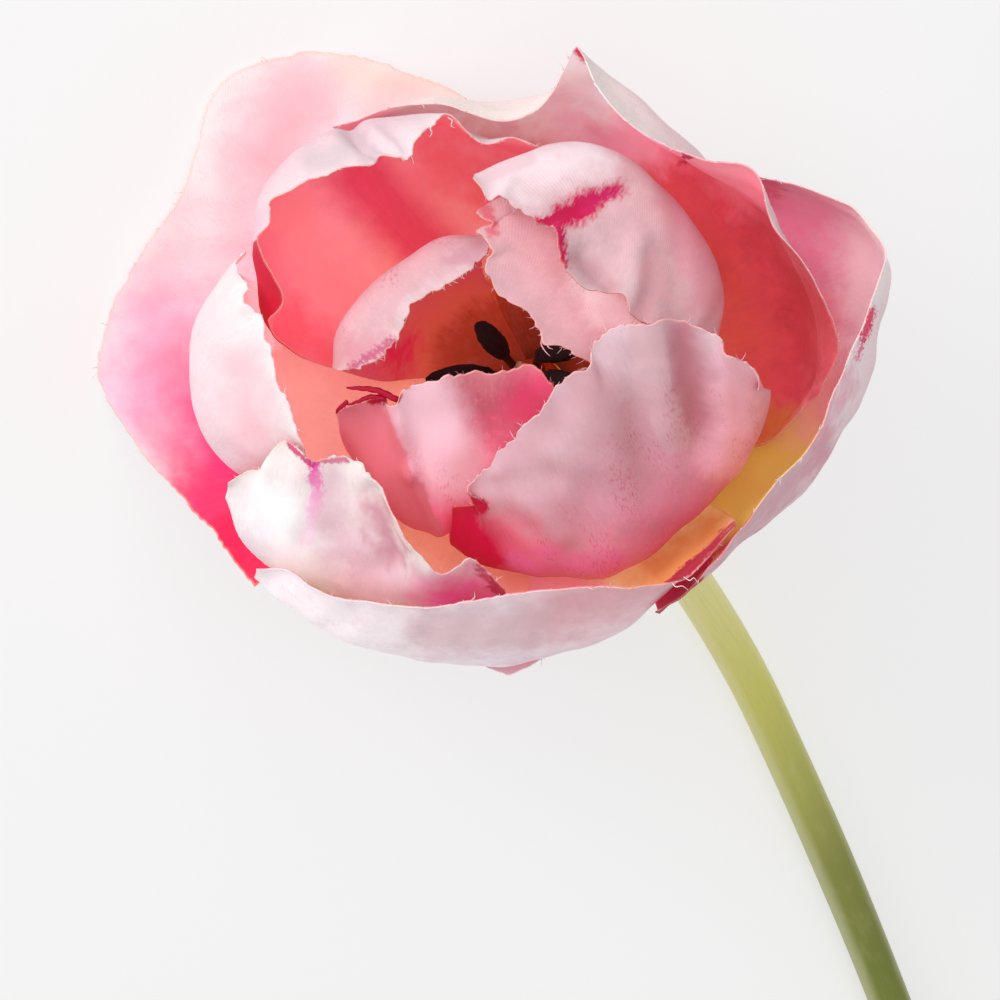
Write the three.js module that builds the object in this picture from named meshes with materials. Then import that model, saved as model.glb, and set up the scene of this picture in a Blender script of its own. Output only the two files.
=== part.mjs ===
// A cut tulip with a double bloom and ragged petals, lying on a table.
//
// The bloom is drawn face on: x to the right, y up, z out of the bloom, in millimetres, with its
// origin at the base of the petals. The whole flower is then laid down on the plane z = 0, with
// the bloom at the +Y end and the stem running back along -Y.
import * as THREE from 'three';

// ---- driving dimensions, in millimetres and degrees ----

const BASE_HEIGHT = 18; // height of the base of the petals above the table
const PETAL_THICKNESS = 0.65;
const POST_RADIUS = 3.0;
const POST_TOP = 11.2; // along the axis of the bloom, from the base of the petals
const ROOT_RADIUS = 3.4; // where a petal starts, clear of the post
const FIRST_ROOT = 1.0; // height of the lowest petals on the post
const ROOT_STEP = 1.35; // from one layer of petals to the next
const STEM_RADIUS = 2.65;
const STEM_TOP = -4.3;
const STEM_ON_TABLE = 238; // length of the stretch that lies on the table
const STEM_BOW_RADIUS = 900; // its gentle bow, level with the table
const STEM_FLAT_ANGLE = 17; // half of the section's angle that is pressed flat
const STEM_SIDES = 16;
const NECK_STEPS = 14;
const LYING_STEPS = 12;
const PRESSED_THICKNESS = 0.6; // least thickness of a petal where it lies on the table
const SCAR_SLANT = 0.8; // slope of the cut at the stem's end

// ---- directions in the bloom's frame ----

const vec = (x, y, z) => new THREE.Vector3(x, y, z);
const bloomAxis = vec(-0.26, 0.28, 0.924).normalize();
const tableUp = vec(0.39, -0.419, 0.819).normalize();
const stemAway = vec(0.372, -0.755, -0.556).projectOnPlane(tableUp).normalize();
const touchdown = vec(26.4, -36.6, -49.3); // where the stem comes down to the table

const acrossRight = vec(1, 0, 0).projectOnPlane(bloomAxis).normalize();
const acrossUp = vec().crossVectors(bloomAxis, acrossRight);

// A point by its angle round the bloom's axis, its distance from it and its height along it.
function aroundAxis(degrees, radius, height) {
  const angle = THREE.MathUtils.degToRad(degrees);
  return bloomAxis.clone().multiplyScalar(height)
    .addScaledVector(acrossRight, radius * Math.cos(angle))
    .addScaledVector(acrossUp, radius * Math.sin(angle));
}

// ---- closed surfaces ----

// A closed skin over rings of points: each ring holds the same number of points, and the first
// and last rings are filled by a fan round their middle.
function skinOver(rings) {
  const sides = rings[0].length;
  const positions = rings.flat().flatMap((p) => [p.x, p.y, p.z]);
  const faces = [];
  for (let r = 0; r + 1 < rings.length; r++) {
    for (let k = 0; k < sides; k++) {
      const a = r * sides + k;
      const b = r * sides + ((k + 1) % sides);
      faces.push(a, b, b + sides, a, b + sides, a + sides);
    }
  }
  for (const [ring, flip] of [[0, true], [rings.length - 1, false]]) {
    const middle = vec();
    rings[ring].forEach((p) => middle.addScaledVector(p, 1 / sides));
    const hub = positions.length / 3;
    positions.push(middle.x, middle.y, middle.z);
    for (let k = 0; k < sides; k++) {
      const a = ring * sides + k;
      const b = ring * sides + ((k + 1) % sides);
      faces.push(hub, ...(flip ? [b, a] : [a, b]));
    }
  }
  return geometryOf(positions, faces);
}

function geometryOf(positions, faces) {
  const geometry = new THREE.BufferGeometry();
  geometry.setAttribute('position', new THREE.Float32BufferAttribute(positions, 3));
  geometry.setIndex(faces);
  geometry.computeVertexNormals();
  return geometry;
}

// A round body along a line of centres, with a radius for each.
function sweptRound(centres, radii, sides) {
  const rings = centres.map((centre, i) => {
    const before = centres[Math.max(i - 1, 0)];
    const after = centres[Math.min(i + 1, centres.length - 1)];
    const along = vec().subVectors(after, before).normalize();
    const side = vec().crossVectors(acrossUp, along).normalize();
    const up = vec().crossVectors(along, side);
    return Array.from({ length: sides }, (_, k) => {
      const angle = (2 * Math.PI * k) / sides;
      return centre.clone()
        .addScaledVector(side, radii[i] * Math.cos(angle))
        .addScaledVector(up, radii[i] * Math.sin(angle));
    });
  });
  return skinOver(rings);
}

// ---- petals ----

// A petal is a thin sheet drawn by rows of points, each row running anticlockwise as seen by
// the viewer: the root on the post, a floor that spreads from it, then the rows given, of which
// the last is the rim. `layer` counts the petals that lie outside this one.
const FLOOR_RADIUS = 10.5;
const FLOOR_RISE = 1.6; // of the lowest layer's floor, from the root
const FLOOR_STEEPER = 0.55; // more rise for each layer further in
const RIM_STRETCH = 0.03; // share of a petal's length that gives its rim the outward direction

// `columns` counts the strips of faces across a petal, and `ragged` is the depth of its fray.
const PETALS = [
  {
    name: 'petal_outer_under', layer: 0, from: 228, to: 290, columns: 12, ragged: 0.4,
    colour: '#e9c0c9',
    rows: [
      [[-13, -16, 1], [-9, -19.5, 2], [-5, -20.5, 2.5], [-1, -19.5, 2], [3, -16, 1]],
      [[-17, -22, 6], [-13, -27, 10], [-5.5, -30.2, 13], [0, -27.2, 11], [5, -22, 7]],
    ],
  },
  {
    name: 'petal_outer_left', layer: 0, from: 100, to: 218, columns: 26, ragged: 0.35,
    colour: '#f6b3c8',
    rows: [
      [
        [-5, 18, 0], [-12, 21, 2], [-20, 20, 2.5], [-26, 13, 1],
        [-28, 4, 0], [-24, -5, 1], [-17, -11, 3],
      ],
      [
        [-11, 31, 9], [-18, 34.5, 9.5], [-26.5, 35, 8.4], [-33.5, 31.5, 10.5], [-38, 22, 9.5],
        [-43, 14, 6.5], [-46, 5, 2.5], [-43.5, -3, 2], [-36, -10.5, 5], [-30, -16.5, 10],
      ],
      [
        [-10.5, 35, 14], [-20, 39.3, 13.5], [-30, 40.3, 12.9], [-38, 37, 15], [-42.5, 25, 14],
        [-49, 15.5, 11], [-53, 5, 5.4], [-49.5, -3, 5], [-41, -12.3, 8], [-34.5, -20.3, 14],
      ],
    ],
  },
  {
    name: 'petal_outer_right', layer: 0, from: -58, to: 48, columns: 24, ragged: 0.35,
    colour: '#e3a3b0',
    rows: [
      [
        [11, -22.3, 17], [16.7, -17.2, 18], [24.2, -11.4, 19], [30.8, -3.8, 19], [34.3, 5, 19],
        [36, 12.5, 18], [33, 19, 15], [27, 22.5, 13], [21, 24, 12],
      ],
      [
        [10.7, -23, 25], [16, -19, 31], [21, -12, 35], [27, -5, 37], [31, 3, 37],
        [34, 11, 35], [36, 17, 31], [32.5, 22, 28.5], [27, 24.5, 26.5], [20.5, 26, 23.5],
      ],
    ],
  },
  {
    name: 'petal_outer_bottom', layer: 1, from: 205, to: 318, columns: 22, ragged: 0.35,
    colour: '#e3bcc4',
    rows: [
      [
        [-33.5, -19, 17], [-28, -23.7, 17], [-19.2, -27.4, 17], [-9, -28.8, 17], [0, -27.4, 17],
        [7, -24.6, 18], [11.6, -19.2, 18], [15.2, -15.6, 18], [19.1, -12.1, 18],
      ],
      [
        [-33.9, -18.3, 25.5], [-30.2, -18.9, 28.5], [-26, -20.7, 31], [-17, -22.5, 34],
        [-8, -21.3, 35.5], [2, -20, 36], [8.5, -20.2, 34.5], [14.2, -18.8, 31.5],
        [19.5, -13.2, 28.5],
      ],
    ],
  },
  {
    name: 'petal_outer_top', layer: 1, from: -6, to: 122, columns: 36, ragged: 0.4,
    colour: '#dd6a74',
    rows: [
      [
        [22, -4.5, 15], [27.3, 2, 17], [27.8, 10.5, 17.5], [23.5, 18.3, 19], [18.8, 23.5, 19.5],
        [13.5, 29.5, 20], [9, 33.5, 20], [3, 35.3, 19.5], [-6, 34, 19], [-14, 34, 18],
        [-22, 29.3, 14],
      ],
      [
        [29.3, 1.5, 25], [30.8, 7, 28.5], [28.5, 13, 32], [24, 19, 34.5], [21, 25.5, 35.5],
        [15.5, 27, 35], [10.5, 29, 34], [5.5, 33.7, 31.5], [3.6, 36.5, 29], [2, 40, 27],
        [0.3, 37.4, 28], [-0.7, 34.9, 28.5], [-2.2, 33, 29.3], [-4.4, 32, 29.8],
        [-6.6, 31.7, 30], [-10, 32.3, 29.5], [-13.3, 33.6, 28.7], [-16.1, 33.7, 27.5],
        [-18.9, 33.1, 26], [-22.3, 32.3, 24], [-25.5, 31.5, 22],
      ],
    ],
  },
  {
    name: 'petal_mid_low', layer: 2, from: 195, to: 268, columns: 30, ragged: 0.6,
    colour: '#f4dfe4',
    rows: [
      [
        [-37, -10.5, 18], [-35.5, -15, 19], [-30.5, -19.5, 19], [-23, -23, 18.5], [-13, -25, 18],
        [-4, -24, 17],
      ],
      [
        [-37.1, -8.7, 24], [-35.4, -7.6, 26], [-33.1, -6.6, 28], [-31.9, -5, 31],
        [-29.8, -4.1, 33], [-28.7, -5, 33.5], [-27.5, -6.3, 33.5], [-25.4, -6.1, 34],
        [-22.4, -6.3, 35], [-20.4, -8.8, 36], [-17.6, -12.7, 37], [-15.6, -15.8, 36.5],
        [-13, -18.5, 35], [-11.6, -17.9, 34], [-9.9, -17.1, 33], [-8.6, -18, 32],
        [-6.3, -20.5, 30],
      ],
    ],
  },
  {
    name: 'petal_mid_left', layer: 3, from: 150, to: 215, columns: 20, ragged: 0.4,
    colour: '#f5d9e0',
    rows: [
      [
        [-36, 15, 17], [-39.5, 11.5, 19], [-41.5, 5.5, 20], [-41, -1, 20], [-37, -6.5, 19],
        [-30, -10.5, 17],
      ],
      [
        [-35, 17.4, 27], [-36.3, 16, 28], [-35.4, 14.3, 29], [-34.6, 13.4, 30], [-35, 11.5, 31],
        [-33.4, 10, 32], [-32.5, 7.2, 33], [-31.4, 2.7, 34], [-29.4, -1.1, 34],
        [-28.5, -3.9, 33], [-28.3, -6.6, 30],
      ],
    ],
  },
  {
    name: 'petal_mid_right', layer: 3, from: 248, to: 360, columns: 38, ragged: 0.5,
    colour: '#dfa6b0',
    rows: [
      [
        [-12, -15.5, 20], [-8, -17.7, 20], [0, -19, 20], [5, -19.2, 20], [9.5, -17.2, 20.5],
        [16, -11.6, 21], [20, -7, 21.5], [22.3, -2.5, 22], [23, 2, 22],
      ],
      [
        [-12, -11.2, 26], [-10.2, -10.8, 28], [-8.5, -10.7, 29], [-10.2, -9.3, 31],
        [-8.8, -8.1, 32], [-7.5, -6.3, 33.5], [-5.7, -4.2, 35], [-3.9, -2.5, 36.5],
        [-1.7, -0.1, 38], [-0.8, 2.1, 39], [1, 3.2, 39.5], [3.2, 4.2, 40], [3.2, 5.9, 40],
        [4.1, 7.5, 40.5], [5.6, 8.6, 41], [8.1, 8.9, 41], [10.6, 8.7, 41], [14.1, 8.4, 40.5],
        [16.6, 7.7, 40], [17.9, 7, 39.5], [18.3, 5.7, 39], [20, 5.2, 38], [21.3, 3.7, 36.5],
        [21.7, 1.6, 34],
      ],
    ],
  },
  {
    name: 'petal_mid_top', layer: 4, from: 82, to: 168, columns: 40, ragged: 0.6,
    colour: '#f06f78',
    rows: [
      [
        [3, 24, 13], [-5, 27, 15], [-13, 29.5, 16], [-22, 28, 17], [-28.5, 23, 17],
        [-29, 14, 16.5], [-25.5, 4.5, 15],
      ],
      [
        [4, 27.8, 20], [-4, 28.9, 24], [-10, 30.5, 27], [-14.5, 32.2, 28.5], [-22, 31.4, 29.5],
        [-29.5, 28.5, 29], [-33.4, 23, 27.5], [-33.8, 15, 25], [-32.8, 10, 23.5],
        [-30.8, 6.6, 21],
      ],
      [
        [4.6, 28, 24], [0.6, 28.8, 27], [-2.7, 28.8, 29.5], [-5.5, 29.7, 31], [-8.3, 29.1, 32],
        [-10.5, 30.4, 33], [-12.4, 31.8, 34], [-14.1, 30.4, 36], [-15.4, 29.4, 37],
        [-16.7, 26.6, 38], [-18.3, 26.7, 38], [-20, 27.3, 38], [-22.6, 26, 37],
        [-25.3, 25.5, 37], [-28.1, 24.5, 36], [-30.4, 23.3, 35], [-31.9, 22.5, 34],
        [-32.1, 20.2, 33], [-33.7, 18.5, 31], [-33, 16.3, 31], [-31.9, 14.4, 31.5],
        [-30.7, 11.8, 31], [-32.4, 9.3, 28.5],
      ],
    ],
  },
  {
    name: 'petal_inner_bottom', layer: 4, from: 178, to: 300, columns: 26, ragged: 0.35,
    colour: '#e58c9c',
    rows: [
      [
        [-23, -5.5, 19], [-20.8, -10, 19], [-16.5, -13.4, 19.2], [-8, -14, 19], [2, -13, 18.5],
        [8, -10, 17.5],
      ],
      [
        [-24.9, -0.7, 30], [-23.3, 0, 30.5], [-21, 0.6, 31], [-19, 0.8, 32], [-18.5, 0.4, 34],
        [-17.7, 1.4, 35], [-15.4, 2.5, 35.5], [-13.2, 3, 36], [-11, 3.3, 36], [-8.8, 3.7, 36],
        [-6.6, 3.5, 36], [-4.4, 4.1, 36], [-3.1, 4.4, 36], [-1.7, 3.3, 35.5], [-0.6, 2.2, 35],
        [1.1, 0, 34.5], [4.5, -2.2, 31],
      ],
    ],
  },
  {
    name: 'petal_inner_top', layer: 5, from: 5, to: 110, columns: 34, ragged: 0.5,
    colour: '#eecdd5',
    rows: [
      [
        [13.5, 3, 16], [15, 10, 16], [12.5, 15.5, 16.5], [9, 19.5, 17], [4.5, 22.3, 18],
        [-1, 23.3, 19], [-6, 23.5, 21],
      ],
      [
        [17.8, 6, 26], [17.9, 12.8, 29], [15.3, 18.6, 31], [11.8, 23.3, 32], [7.6, 26.9, 33],
        [3, 28.6, 33.5], [-1.5, 28.5, 34], [-5.8, 27, 35], [-9.3, 25.4, 36],
      ],
      [
        [16, 7.2, 34], [14.3, 7.7, 35.5], [10.9, 8.4, 37.5], [8.7, 9.2, 38.5], [7.2, 10.1, 39],
        [6.5, 11.9, 39.5], [4.5, 12.5, 40], [3, 12.5, 40], [1.6, 13.5, 40.5], [0, 16, 41],
        [-0.5, 18.7, 41], [-2.3, 19.7, 41], [-3.9, 20.6, 40.5], [-5.5, 21.8, 40],
        [-6.6, 22.6, 40], [-7.8, 22.1, 39.5], [-8.8, 23.5, 39], [-9.6, 24.8, 38.5],
      ],
    ],
  },
  {
    name: 'petal_inner_left', layer: 5, from: 112, to: 175, columns: 18, ragged: 0.4,
    colour: '#ecc6cf',
    rows: [
      [[-8.5, 15, 16], [-12.5, 14.5, 17], [-16.5, 12, 17.5], [-19, 8, 17.5], [-20, 3, 17]],
      [
        [-8.3, 19, 30], [-13.3, 18.2, 30.5], [-18, 15.4, 31], [-22.3, 11.8, 31],
        [-24.6, 8.2, 30], [-25.3, 4.2, 28],
      ],
      [
        [-7.2, 17.9, 33], [-8.3, 16.4, 34], [-9.9, 15.2, 35], [-12.1, 13.5, 36],
        [-14.3, 12.5, 36.5], [-16.3, 11.1, 37], [-17, 9.5, 37], [-17.6, 7.5, 36],
        [-19.3, 6, 35.5], [-21.9, 4.3, 34], [-24.1, 3.6, 32],
      ],
    ],
  },
  {
    name: 'petal_inner_pale', layer: 6, from: 0, to: 110, columns: 30, ragged: 0.5,
    colour: '#ecb6bf',
    rows: [
      [
        [9.5, 0.5, 15.5], [11, 8, 17], [8.5, 13.5, 17.5], [4.5, 17.5, 18], [-0.5, 19, 19],
        [-4.5, 19.5, 20.5],
      ],
      [
        [14, 2, 24], [14.5, 10, 27], [11.5, 16, 28.5], [7, 21, 29.5], [1, 24, 30],
        [-5, 24, 31.5],
      ],
      [
        [9, 2, 32], [3.5, 4.3, 34], [1.6, 5.5, 35], [0, 6.3, 35.5], [-1.3, 6.8, 36],
        [-2.2, 8.7, 36.5], [-4.4, 10.6, 37], [-6.4, 11.9, 37], [-7.9, 13.7, 37.5],
        [-8.4, 15.3, 37.5], [-7.2, 17, 37], [-8.3, 18.1, 37], [-9.2, 19.1, 36.5],
        [-7.4, 19.9, 36], [-8.9, 20.4, 35.5], [-9.1, 21.5, 35], [-7.4, 22, 34.5],
      ],
    ],
  },
];

const PETAL_STEPS = 8; // rows of faces from the root to the rim

// How far the ragged rim stands out at a place across the petal, from about -1 to 1.
const fray = (u, seed) => 0.6 * Math.sin(37 * u + seed) + 0.4 * Math.sin(83 * u + 2.3 * seed);

// Points of the petal's middle sheet, as a grid of columns from side to side, each from root to rim.
function petalSheet({ layer, from, to, columns, ragged, rows }, seed) {
  const rootHeight = FIRST_ROOT + ROOT_STEP * layer;
  const floorHeight = rootHeight + FLOOR_RISE + FLOOR_STEEPER * layer;
  const drawn = rows.map((row) => new THREE.CatmullRomCurve3(row.map((p) => vec(...p))));
  return Array.from({ length: columns + 1 }, (_, i) => {
    const u = i / columns;
    const angle = THREE.MathUtils.lerp(from, to, u);
    const rib = new THREE.CatmullRomCurve3([
      aroundAxis(angle, ROOT_RADIUS, rootHeight),
      aroundAxis(angle, FLOOR_RADIUS, floorHeight),
      ...drawn.map((curve) => curve.getPointAt(u)),
    ]);
    const column = Array.from({ length: PETAL_STEPS + 1 }, (_, j) => rib.getPointAt(j / PETAL_STEPS));
    const edge = column[PETAL_STEPS];
    const outward = edge.clone().sub(rib.getPointAt(1 - RIM_STRETCH)).normalize();
    edge.addScaledVector(outward, ragged * fray(u, seed));
    return column;
  });
}

// Both faces of a sheet, half its thickness to each side, joined round the edge.
function petalSolid(sheet) {
  const columns = sheet.length;
  const steps = sheet[0].length;
  const clampIndex = (i, count) => Math.min(Math.max(i, 0), count - 1);
  const at = (i, j) => sheet[clampIndex(i, columns)][clampIndex(j, steps)];
  const outer = [];
  const inner = [];
  for (let i = 0; i < columns; i++) {
    for (let j = 0; j < steps; j++) {
      const across = vec().subVectors(at(i + 1, j), at(i - 1, j));
      const along = vec().subVectors(at(i, j + 1), at(i, j - 1));
      const normal = across.cross(along).normalize();
      const middle = sheet[i][j];
      outer.push(onTable(middle.clone().addScaledVector(normal, PETAL_THICKNESS / 2), 0));
      normal.negate();
      inner.push(onTable(middle.clone().addScaledVector(normal, PETAL_THICKNESS / 2), PRESSED_THICKNESS));
    }
  }
  const positions = [...outer, ...inner].flatMap((p) => [p.x, p.y, p.z]);
  const behind = columns * steps;
  const index = (i, j) => i * steps + j;
  const faces = [];
  const quad = (a, b, c, d) => faces.push(a, b, c, a, c, d);
  for (let i = 0; i + 1 < columns; i++) {
    for (let j = 0; j + 1 < steps; j++) {
      const [a, b, c, d] = [index(i, j), index(i + 1, j), index(i + 1, j + 1), index(i, j + 1)];
      quad(a, b, c, d);
      faces.push(a + behind, c + behind, b + behind, a + behind, d + behind, c + behind);
    }
  }
  const border = [
    ...Array.from({ length: columns - 1 }, (_, i) => index(i, 0)),
    ...Array.from({ length: steps - 1 }, (_, j) => index(columns - 1, j)),
    ...Array.from({ length: columns - 1 }, (_, i) => index(columns - 1 - i, steps - 1)),
    ...Array.from({ length: steps - 1 }, (_, j) => index(0, steps - 1 - j)),
  ];
  border.forEach((a, k) => {
    const b = border[(k + 1) % border.length];
    quad(b, a, a + behind, b + behind);
  });
  return geometryOf(positions, faces);
}

// Lifts a point that would sink below the table, or below `clear` above it.
function onTable(point, clear) {
  const height = point.dot(tableUp) + BASE_HEIGHT;
  return height < clear ? point.addScaledVector(tableUp, clear - height) : point;
}

// ---- stem ----

const stemFlatAngle = THREE.MathUtils.degToRad(STEM_FLAT_ANGLE);
const stemLift = STEM_RADIUS * Math.cos(stemFlatAngle); // of the stem's middle above the table

function stemCentres() {
  const start = aroundAxis(0, 0, STEM_TOP);
  const end = touchdown.clone()
    .addScaledVector(tableUp, stemLift - BASE_HEIGHT - touchdown.dot(tableUp));
  const reach = start.distanceTo(end) / 3;
  const neck = new THREE.CubicBezierCurve3(
    start,
    start.clone().addScaledVector(bloomAxis, -reach),
    end.clone().addScaledVector(stemAway, -reach),
    end,
  );
  const sideways = vec().crossVectors(stemAway, tableUp);
  const lying = Array.from({ length: LYING_STEPS }, (_, k) => {
    const turned = ((k + 1) / LYING_STEPS) * (STEM_ON_TABLE / STEM_BOW_RADIUS);
    return end.clone()
      .addScaledVector(stemAway, STEM_BOW_RADIUS * Math.sin(turned))
      .addScaledVector(sideways, STEM_BOW_RADIUS * (1 - Math.cos(turned)));
  });
  return [...neck.getPoints(NECK_STEPS), ...lying];
}

function stemGeometry() {
  const centres = stemCentres();
  const last = centres.length - 1;
  const rings = centres.map((centre, i) => {
    const along = vec().subVectors(centres[Math.min(i + 1, last)], centres[Math.max(i - 1, 0)]);
    along.normalize();
    if (i === 0) along.copy(bloomAxis).negate();
    const up = tableUp.clone().projectOnPlane(along).normalize();
    const side = vec().crossVectors(up, along);
    return Array.from({ length: STEM_SIDES }, (_, k) => {
      const fullTurn = 2 * Math.PI - 2 * stemFlatAngle;
      const angle = -Math.PI / 2 + stemFlatAngle + (fullTurn * k) / (STEM_SIDES - 1);
      const rise = STEM_RADIUS * Math.sin(angle);
      return centre.clone()
        .addScaledVector(side, STEM_RADIUS * Math.cos(angle))
        .addScaledVector(up, rise)
        .addScaledVector(along, i === last ? -SCAR_SLANT * rise : 0);
    });
  });
  return skinOver(rings);
}

// ---- receptacle, stamens, pistil ----

const RECEPTACLE_PROFILE = [ // radius, height along the axis
  [2.6, -4.0], [3.6, -2.6], [4.6, -1.0], [4.6, 0.2], [POST_RADIUS, 0.5],
  [POST_RADIUS, POST_TOP - 0.8], [2.2, POST_TOP],
];
const STAMEN_CIRCLE = 1.55; // radius of the ring of their feet
const STAMEN_START = POST_TOP + 0.25;
const STAMEN_RISE = 7; // how far a stamen goes straight up before it leans
const STAMENS = [ // angle of the foot, tip
  [150, [-9, 9.2, 25.5]],
  [50, [2.5, 6.3, 24]],
  [200, [-14.8, 3, 24.5]],
  [250, [-9.5, -3, 25]],
  [300, [-2, -3.5, 26]],
  [350, [4.5, 1, 25]],
];
const PISTIL_LENGTH = 5;

function receptacleGeometry() {
  const centres = RECEPTACLE_PROFILE.map(([, height]) => aroundAxis(0, 0, height));
  return sweptRound(centres, RECEPTACLE_PROFILE.map(([radius]) => radius), 20);
}

function stamenGeometry([degrees, tip]) {
  const foot = aroundAxis(degrees, STAMEN_CIRCLE, STAMEN_START);
  const knee = foot.clone().addScaledVector(bloomAxis, STAMEN_RISE);
  const line = new THREE.QuadraticBezierCurve3(foot, knee, vec(...tip));
  const profile = [ // share of the length, radius: a thin filament, then the fat anther
    [0, 0.6], [0.25, 0.5], [0.4, 0.6], [0.48, 1.1], [0.62, 1.35], [0.8, 1.3], [0.94, 0.9], [1, 0.4],
  ];
  const centres = profile.map(([share]) => line.getPointAt(share));
  return sweptRound(centres, profile.map(([, radius]) => radius), 10);
}

function pistilGeometry() {
  const profile = [[0, 0.7], [0.6, 0.75], [0.8, 1.0], [1, 0.6]];
  const centres = profile.map(([t]) => aroundAxis(0, 0, STAMEN_START + t * PISTIL_LENGTH));
  return sweptRound(centres, profile.map(([, radius]) => radius), 8);
}

// ---- the flower ----

const flower = new THREE.Group();

function add(name, geometry, colour, roughness) {
  const material = new THREE.MeshStandardMaterial({ color: colour, roughness, metalness: 0 });
  const mesh = new THREE.Mesh(geometry, material);
  mesh.name = name;
  flower.add(mesh);
}

add('stem', stemGeometry(), '#b3b061', 0.55);
add('receptacle', receptacleGeometry(), '#c9c06a', 0.6);
PETALS.forEach((petal, i) => {
  add(petal.name, petalSolid(petalSheet(petal, i + 1)), petal.colour, 0.75);
});
STAMENS.forEach((stamen, i) => {
  add(`stamen_${i + 1}`, stamenGeometry(stamen), '#210c0c', 0.95);
});
add('pistil', pistilGeometry(), '#b9a94e', 0.7);

// Lay the flower down: the table's up becomes +Z and the stem runs along -Y.
const rowY = stemAway.clone().negate();
const rowX = vec().crossVectors(rowY, tableUp);
const layDown = new THREE.Matrix4().makeBasis(rowX, rowY, tableUp).transpose();
flower.quaternion.setFromRotationMatrix(layDown);

// The origin is at the middle of the footprint of the whole flower, on the table.
flower.updateMatrixWorld(true);
const box = new THREE.Box3().setFromObject(flower, true);
const centre = box.getCenter(vec());
flower.position.set(-centre.x, -centre.y, BASE_HEIGHT);

export default flower;
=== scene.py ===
import bpy
import numpy as np
from mathutils import Matrix, Vector


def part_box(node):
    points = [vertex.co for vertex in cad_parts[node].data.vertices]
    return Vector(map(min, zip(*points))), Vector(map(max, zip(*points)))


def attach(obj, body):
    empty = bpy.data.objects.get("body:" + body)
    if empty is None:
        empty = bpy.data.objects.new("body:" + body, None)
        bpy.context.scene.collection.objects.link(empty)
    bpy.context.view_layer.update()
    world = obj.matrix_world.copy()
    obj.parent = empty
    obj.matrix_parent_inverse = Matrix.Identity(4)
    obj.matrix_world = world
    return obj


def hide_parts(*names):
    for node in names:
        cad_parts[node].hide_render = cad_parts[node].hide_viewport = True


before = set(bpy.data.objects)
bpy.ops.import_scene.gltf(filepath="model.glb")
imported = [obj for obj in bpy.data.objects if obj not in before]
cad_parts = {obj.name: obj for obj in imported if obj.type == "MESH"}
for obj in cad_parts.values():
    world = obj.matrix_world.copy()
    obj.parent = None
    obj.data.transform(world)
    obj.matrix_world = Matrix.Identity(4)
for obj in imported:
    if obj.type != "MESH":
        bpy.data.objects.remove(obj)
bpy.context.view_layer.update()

# ---- how the flower lies ----
# The bloom is worked out face on, in millimetres: x to the right, y up, z out of the bloom, from
# the base of its petals. The whole flower then lies on its stem and on its lowest petal.


def unit(v):
    v = np.asarray(v, float)
    return v / np.linalg.norm(v, axis=-1, keepdims=True)


bloom_axis = unit([-0.26, 0.28, 0.924])
table_up = unit([0.39, -0.419, 0.819])
stem_away = np.array([0.372, -0.755, -0.556])
stem_away = unit(stem_away - table_up * (stem_away @ table_up))
across_right = unit(np.array([1, 0, 0]) - bloom_axis * bloom_axis[0])
across_up = np.cross(bloom_axis, across_right)
lay_down = np.array([np.cross(-stem_away, table_up), -stem_away, table_up])


def around_axis(degrees, radius, height):
    """Points by their angle round the bloom's axis, distance from it and height along it."""
    angle = np.radians(degrees)
    return (
        np.multiply.outer(height, bloom_axis)
        + np.multiply.outer(radius * np.cos(angle), across_right)
        + np.multiply.outer(radius * np.sin(angle), across_up)
    )


RECEPTACLE_PROFILE = [  # radius, height along the axis
    (2.6, -4.0), (3.6, -2.6), (4.6, -1.0), (4.6, 0.2), (3.0, 0.5), (3.0, 10.4), (2.2, 11.2),
]
# the box of the solid receptacle, which has 20 sides, says where the base of the petals is
turns = np.arange(20) * 360 / 20
solid_points = np.vstack([around_axis(turns, r, h) for r, h in RECEPTACLE_PROFILE])
bloom_foot = 1000 * np.array(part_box("receptacle")[0]) - (solid_points @ lay_down.T).min(0)


def to_table(points):
    """Points of the bloom, in millimetres, to where they lie on the table, in metres."""
    return (np.asarray(points, float) @ lay_down.T + bloom_foot) / 1000


# ---- stem ----
# A long bare stalk, a little over 5 mm thick and soft to the touch, which bends down from the
# bloom and lies on the table. It is cut on a slant at its end.
STEM_RADIUS = 2.65
STEM_TOP = -4.3
STEM_ON_TABLE = 238
STEM_BOW_RADIUS = 900
STEM_FLAT_ANGLE = 17  # half of the section's angle that is pressed flat, in degrees
STEM_SIDES = 32
NECK_STEPS = 48
LYING_STEPS = 72
STEM_LUMP = 0.012  # share of the radius
STEM_LUMP_LENGTH = 17
STEM_RIPPLE = 0.008
STEM_RIPPLE_LENGTH = 6.3
SCAR_SLANT = 0.8  # slope of the cut at the stem's end
TOUCHDOWN = np.array([26.4, -36.6, -49.3])  # where the stem comes down to the table
BASE_HEIGHT = 18  # of the base of the petals above the table


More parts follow.
